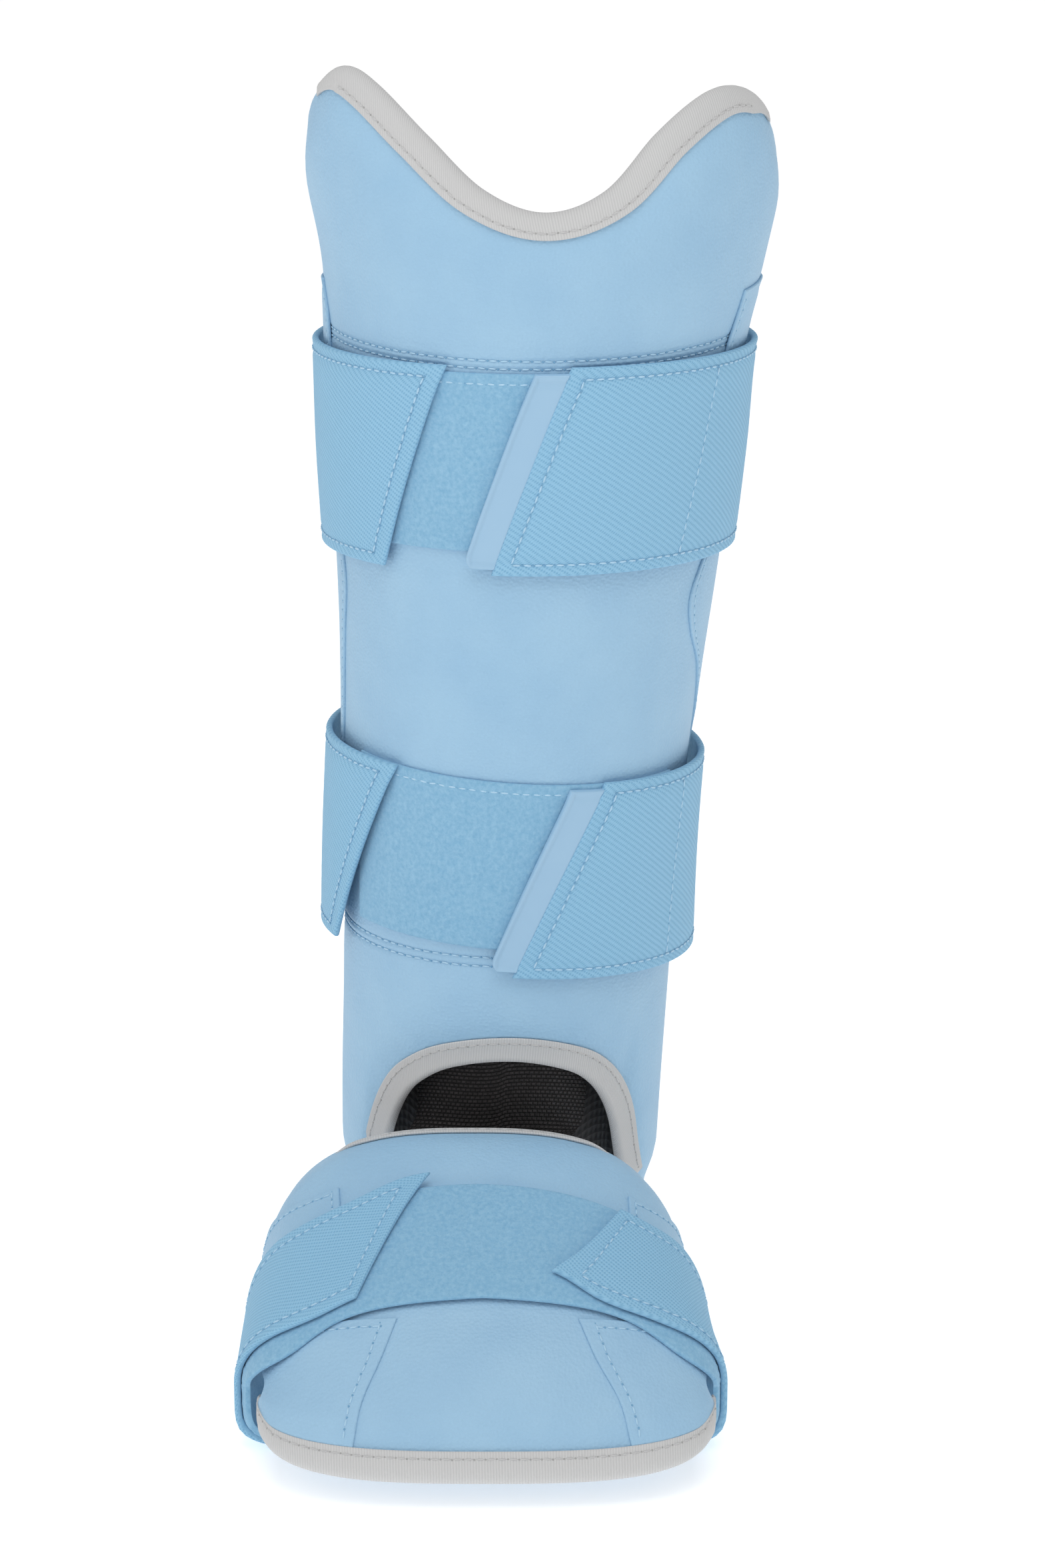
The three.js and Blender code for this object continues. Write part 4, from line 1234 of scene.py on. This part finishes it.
def tongue_surface(s, t, lift):
    """The tongue on shares: t runs from under the hood, through the bend, and up inside the shell."""
    share, row, lift = np.broadcast_arrays(np.asarray(2 * s - 1, float), 3 * np.asarray(t, float), lift)
    on_leg = lambda height: leg_point(share * TONGUE_WRAP["leg"], height, TONGUE_LIFT["leg"] + lift)
    on_hood = lambda along: hood_point(share * TONGUE_WRAP["hood"], along, TONGUE_LIFT["hood"] + lift)
    bend = np.clip(row - 1, 0, 1)[..., None]
    back = 1 - bend
    curve = (back ** 3 * on_hood(ON_HOOD[1]) + 3 * back ** 2 * bend * on_hood(BEND_HOOD)
             + 3 * back * bend ** 2 * on_leg(BEND_LEG) + bend ** 3 * on_leg(ON_LEG[0]))
    hood_part = on_hood(mix(*ON_HOOD, np.clip(row, 0, 1)))
    leg_part = on_leg(mix(*ON_LEG, np.clip(row - 2, 0, 1)))
    return np.where((row < 1)[..., None], hood_part, np.where((row > 2)[..., None], leg_part, curve))


tongue = thin_piece("nylon_tongue", tongue_surface, 0, TONGUE, TONGUE_STEP)
dress(tongue, nylon, "nylon", "ankle_tongue")
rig.sheet(tongue, held="stretched", rests_on=["shin_shell", "foot_shell"], **cut_of(tongue_surface))

# %% [markdown]
# ## Foot hood
# The hood is a second pad, 8 mm thick, over the instep and toes. Its columns are spaced evenly round the
# arch, because the arch's angle runs fast at its crown and feet. It swells only where no band, patch or
# tape lies on it.

# %% Foot hood: its faces
HOOD_PAD, HOOD_EDGE = 8, 5.5
ARCH_AT, ARCH_SAMPLES = 60.0, 1801  # where along the hood its arch is measured, and how finely

fine = np.linspace(0, 90, ARCH_SAMPLES)
arch_run = run_along(hood_face(fine, ARCH_AT))


def hood_roll(inset):
    """Lift of the hood's face near an edge, where the pad is sewn thin."""
    return (HOOD_EDGE - HOOD_PAD) * (1 - ease(inset, 0, PAD_ROLL))


def hood_inset(across, along):
    """Distance in from the hood's nearest edge."""
    from_foot = arch_run[-1] - np.interp(np.abs(across), fine, arch_run)
    return np.minimum(np.minimum(along, TOE - along), from_foot)


def hood_place(across, along, side):
    """Point of the hood's outer or inner face."""
    nose = HOOD_EDGE / 2 * rounded(hood_inset(across, along), HOOD_EDGE / 2)
    if side == 0:
        return hood_point(across, along, -HOOD_PAD + HOOD_EDGE / 2 - nose)
    return hood_point(across, along, hood_roll(hood_inset(across, along)) - HOOD_EDGE / 2 + nose)


def even_across(step):
    """Angles from foot to foot of the arch at even distances."""
    run = stations(2 * arch_run[-1], HOOD_EDGE / 2, step) - arch_run[-1]
    return np.sign(run) * np.interp(np.abs(run), arch_run, fine)

# %% Foot hood: its pad
HOOD_STEPS = (2.2, 2)
BARE_REAR, REAR_ACROSS = (6, 16, 24, 31), (22, 34)
BARE_TOE, TOE_ACROSS = (80, 92, 108, 118), (10, 22)

hood_rows = stations(TOE, HOOD_EDGE / 2, HOOD_STEPS[1])[::-1]
hood = sewn("foot_pad", even_across(HOOD_STEPS[0]), hood_rows, hood_place)
across, along, side = stations_of(hood)
dress(hood, leather, "leather", "foot_shell")
bare_rear = between(along, *BARE_REAR) * (1 - ease(np.abs(across), *REAR_ACROSS))
bare_toe = between(along, *BARE_TOE) * (1 - ease(np.abs(across), *TOE_ACROSS))
swell(hood, (bare_rear + bare_toe) * side)
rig.padded(hood, fill=0.8)

# %% [markdown]
# ## Hood binding
# The same tape binds the hood's ankle rim and its toe edge. At the rim it narrows to the sides and slips
# under the patches. At the toe it widens to the corners and narrows again at its ends.

# %% Hood binding
HOOD_TAPE_STEP = 1.6


def hood_edge_spot(edge, inward):
    """Gives the points near an edge of the hood, and past it for the fold of the tape."""
    def spot(across, inset, lift):
        along = edge + inward * np.maximum(inset, 0)
        outward = hood_outward(across, along)
        rightward = unit(hood_face(across + NUDGE, edge * 1.0) - hood_face(across - NUDGE, edge * 1.0))
        over_edge = np.cross(outward, rightward) * (-inward * np.minimum(inset, 0))[..., None]
        return hood_face(across, along) + outward * lift[..., None] + over_edge
    return spot


arch_angles = even_across(HOOD_TAPE_STEP)
HOOD_TAPES = {
    "rim": dict(edge=0, inward=1, width=5.5, wrap=73, node="foot_rear_binding", seam_wrap=22,
                cover=lambda a: 1 - 0.8 * ease(np.abs(a), 20, 36),
                tuck=lambda a: 1.6 * ease(np.abs(a), 26, 42)),
    "toe": dict(edge=TOE, inward=-1, width=6, wrap=89.8, node="toe_binding", seam_wrap=84,
                cover=lambda a: 1 + 0.8 * ease(np.abs(a), 60, 84) - 1.3 * ease(np.abs(a), 86, 89.6),
                tuck=lambda a: 0 * a),
}
seams = []
for name, tape in HOOD_TAPES.items():
    spot = hood_edge_spot(tape["edge"], tape["inward"])
    face = lambda a, i, tape=tape: hood_roll(hood_inset(a, tape["edge"] + tape["inward"] * np.maximum(i, 0)))
    section = hairpin(tape["width"], HOOD_PAD, HOOD_PAD - HOOD_EDGE, HOOD_EDGE)[::-tape["inward"]]
    angles = arch_angles[np.abs(arch_angles) < tape["wrap"]]
    piece = swept_tape(f"{name}_tape", angles, section, spot, face, tape["cover"], tape["tuck"])
    dress(piece, grosgrain, "binding", tape["node"])
    angles = angles[np.abs(angles) < tape["seam_wrap"]]
    seams.append(tape_seam(angles, tape["width"], spot, face, tape["cover"]))
stitches("hood_tape_seams", seams, "grey", "binding")

# %% [markdown]
# ## Leather patches
# Four leather patches carry the wear where the straps and toes rub: two beside the toes and two behind
# the loop band. Their free edges are stitched.

# %% Leather patches: their form
PATCHES = {
    "front": {"from": (80.5, 75), "to": 118.2, "outer": 86},
    "rear": {"from": (24.5, 8), "to": 42, "outer": 84},
}
REAR_INNER = (31.5, 38)  # inner edge of the rear patch on the left and on the right

# along, inner edge on the left, inner edge on the right
FRONT_INNER = np.array(((76, 15, 17), (92, 20.5, 22.6), (106, 25.5, 29), (116, 26, 30)))


def patch_surface(place_name, side):
    """A patch on shares: s runs rightward, and t from its front edge to its back one."""
    patch = PATCHES[place_name]

    def surface(s, t, lift):
        share = 1 - s if side < 0 else s
        front = place_name == "front"
        along = mix(patch["to"], mix(*patch["from"], share if front else ease(share, 0, 1)), t)
        inner = read(FRONT_INNER, 1 if side < 0 else 2, along) if front else REAR_INNER[side > 0]
        across = side * mix(inner, patch["outer"], share)
        return hood_point(across, along, hood_roll(hood_inset(across, along)) + lift)
    return surface

# %% Leather patches: four sheets
PATCH_STEP, PATCH_SEAM = 2, 2.4
INNER_SEAM_PATH, BACK_SEAM_PATH = np.linspace(0.04, 0.96, 40), np.linspace(0.05, 0.95, 40)

for side, name in ((-1, "left"), (1, "right")):
    rows = []
    for place_name in PATCHES:
        surface = patch_surface(place_name, side)
        wide, tall = sheet_size(surface)
        patch = thin_piece(f"{place_name}_patch_{name}", surface, LAID, LEATHER, PATCH_STEP, seam=PATCH_SEAM)
        dress(patch, leather, "leather", f"foot_{place_name}_patch_{name}")
        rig.sheet(patch, held="laid", rests_on=["foot_shell"], **cut_of(surface))
        inner = 1 - PATCH_SEAM / wide if side < 0 else PATCH_SEAM / wide
        rows.append((surface, inner, INNER_SEAM_PATH, LEATHER_SEAM))
        rows.append((surface, BACK_SEAM_PATH, 1 - PATCH_SEAM / tall, LEATHER_SEAM))
    stitches(f"patch_seams_{name}", rows, "blue", "leather")

# %% [markdown]
# ## Loop band
# A band of loop pile crosses the instep and carries the sole strap. Both go on round the foot: over the
# hood they follow its arch, and below it they turn a soft square corner on each side and run flat under
# the sole. So they share one map, with the angle from the hood's crown as its turn. Beside the foot they
# leave the leather a little at the front, where the pad rolls in, and lie close to it at the rear.

# %% Loop band: round the foot
SOLE_DEPTH, SOLE_SQUARE, SOLE_FLAT = 10, 5.5, 1.05
STAND_OFF, STAND_FROM, STAND_TO = (3.0, 1.0), 34, 80  # left and right, and between which places along
STAND_TURN = (45, 90)
BAND_LIFT, BAND_WRAP = 0.8, 125
STRAP_GAP = 0.3
SOLE_CLEAR = BAND_LIFT + LOOP_PILE + STRAP_GAP


def round_foot(turn, along, off):
    """Point round the foot at a distance off the leather: past a turn of 90 it runs under the sole."""
    turn, along, off = np.broadcast_arrays(np.asarray(turn, float), along, off)
    front = np.clip((along - STAND_FROM) / (STAND_TO - STAND_FROM), 0, 1)
    rolled = hood_roll(hood_inset(np.clip(turn, -90, 90), along))
    stand = mix(rolled, np.where(turn < 0, *STAND_OFF) * ease(np.abs(turn), *STAND_TURN), front)
    over = hood_point(np.clip(turn, -90, 90), along, off + stand)
    side = np.sign(turn)
    foot, centre = hood_face(90 * side, along), read(HOOD, 5, along)
    power = 2 / SOLE_SQUARE
    reach = foot[..., 0] - centre + side * (off + stand)
    drop = np.minimum(1, SOLE_FLAT * np.abs(np.cos(np.radians(turn))) ** power)
    x = centre + reach * np.abs(np.sin(np.radians(turn))) ** power
    depth = foot[..., 2] + SOLE_DEPTH - SOLE_CLEAR - STRAP + off
    under = np.stack((x, foot[..., 1], foot[..., 2] - depth * drop), axis=-1)
    return np.where((np.abs(turn) <= 90)[..., None], over, under)


def run_share(points):
    """Share of a path's length at each of its points."""
    run = run_along(points)
    return run / run[-1]


print("the sole strap lies down to", -SOLE_DEPTH, "mm")

# %% Loop band
BAND_MIDDLE, BAND_STEP = 57.0, 1.2
TURN_SAMPLES = 2001

# turn, rear edge, front edge
BAND_EDGES = np.array((
    (0, 32, 75.5), (33, 35.5, 80), (55, 36, 89), (72, 36, 93), (90, 36, 95), (BAND_WRAP, 36, 92)))


def band_surface(s, t, lift):
    """The band on shares: s runs rightward over the instep, and t from its front edge to its rear one."""
    turn = np.interp(s, band_run, band_turns)
    along = mix(read(BAND_EDGES, 2, np.abs(turn)), read(BAND_EDGES, 1, np.abs(turn)), t)
    return round_foot(turn, along, BAND_LIFT + lift)


band_turns = np.linspace(-BAND_WRAP, BAND_WRAP, TURN_SAMPLES)
band_run = run_share(round_foot(band_turns, BAND_MIDDLE, BAND_LIFT))
band = thin_piece("instep_pile_band", band_surface, 0, LOOP_PILE, BAND_STEP, nap=LOOP_NAP)
dress(band, pile, "loop", "foot_loop_band")
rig.sheet(band, held="laid", rests_on=["foot_shell"], **cut_of(band_surface))

# %% [markdown]
# ## Sole strap
# The sole strap closes on the band at both ends and runs under the shoe. Its ends are cut at a slant, so
# over the hood its turn is stretched a little to reach them.

# %% Sole strap
SOLE_STEP = 2.2
RIGHT_END, LEFT_END = (12.4, 32.5), (-27.3, -6.6)

# turn, rear edge, front edge
SOLE_EDGES = np.array((
    (-180, 34, 80), (-90, 33, 80), (-60, 34, 79.5), (-41, 37, 78.3), (-27, 36, 74.2), (-7, 29, 68),
    (12, 32, 66.9), (24, 35, 75.3), (41, 37, 79), (60, 34, 80), (90, 33, 80), (180, 34, 80)))


def sole_point(turn, share, lift):
    """Point on the sole strap at a turn up to 360: share runs from its front edge to its rear one."""
    turn = np.where(turn > 180, turn - 360, turn)
    along = mix(read(SOLE_EDGES, 2, turn), read(SOLE_EDGES, 1, turn), share)
    return round_foot(turn, along, SOLE_CLEAR + lift)


def sole_surface(s, t, lift):
    """The strap on shares: from its right end, down, under the sole and up to its left end."""
    middle = np.interp(s, sole_run, sole_turns)
    right, left = mix(*RIGHT_END, t), mix(*LEFT_END, t) + 360
    right_mid, left_mid = np.mean(RIGHT_END), np.mean(LEFT_END) + 360
    turn = np.where(middle < 90, 90 - (90 - right) * (90 - middle) / (90 - right_mid), middle)
    turn = np.where(middle > 270, 270 + (left - 270) * (middle - 270) / (left_mid - 270), turn)
    return sole_point(turn, t, lift)


sole_turns = np.linspace(np.mean(RIGHT_END), np.mean(LEFT_END) + 360, TURN_SAMPLES)
sole_run = run_share(sole_point(sole_turns, 0.5, 0.0))
sole_strap = thin_piece("sole_webbing", sole_surface, 0, STRAP, SOLE_STEP, seam=STRAP_SEAM)
dress(sole_strap, webbing, "strap", "sole_strap")
lined_with_pile(sole_strap)
stitches("sole_strap_seams", strap_seams(sole_surface), "blue", "strap")

# %% [markdown]
# ## Size and finish
# The dressed guard has to keep the size of its solids, so both boxes are written down.

# %% Size and finish
visual_box = [list(corner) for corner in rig.bounds()]
with open("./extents.json", "w") as file:
    json.dump({"cad": cad_box, "visual": visual_box}, file)
print("CAD box:", [round((b - a) * 1000, 1) for a, b in zip(*cad_box)], "mm")
print("visual box:", [round((b - a) * 1000, 1) for a, b in zip(*visual_box)], "mm")
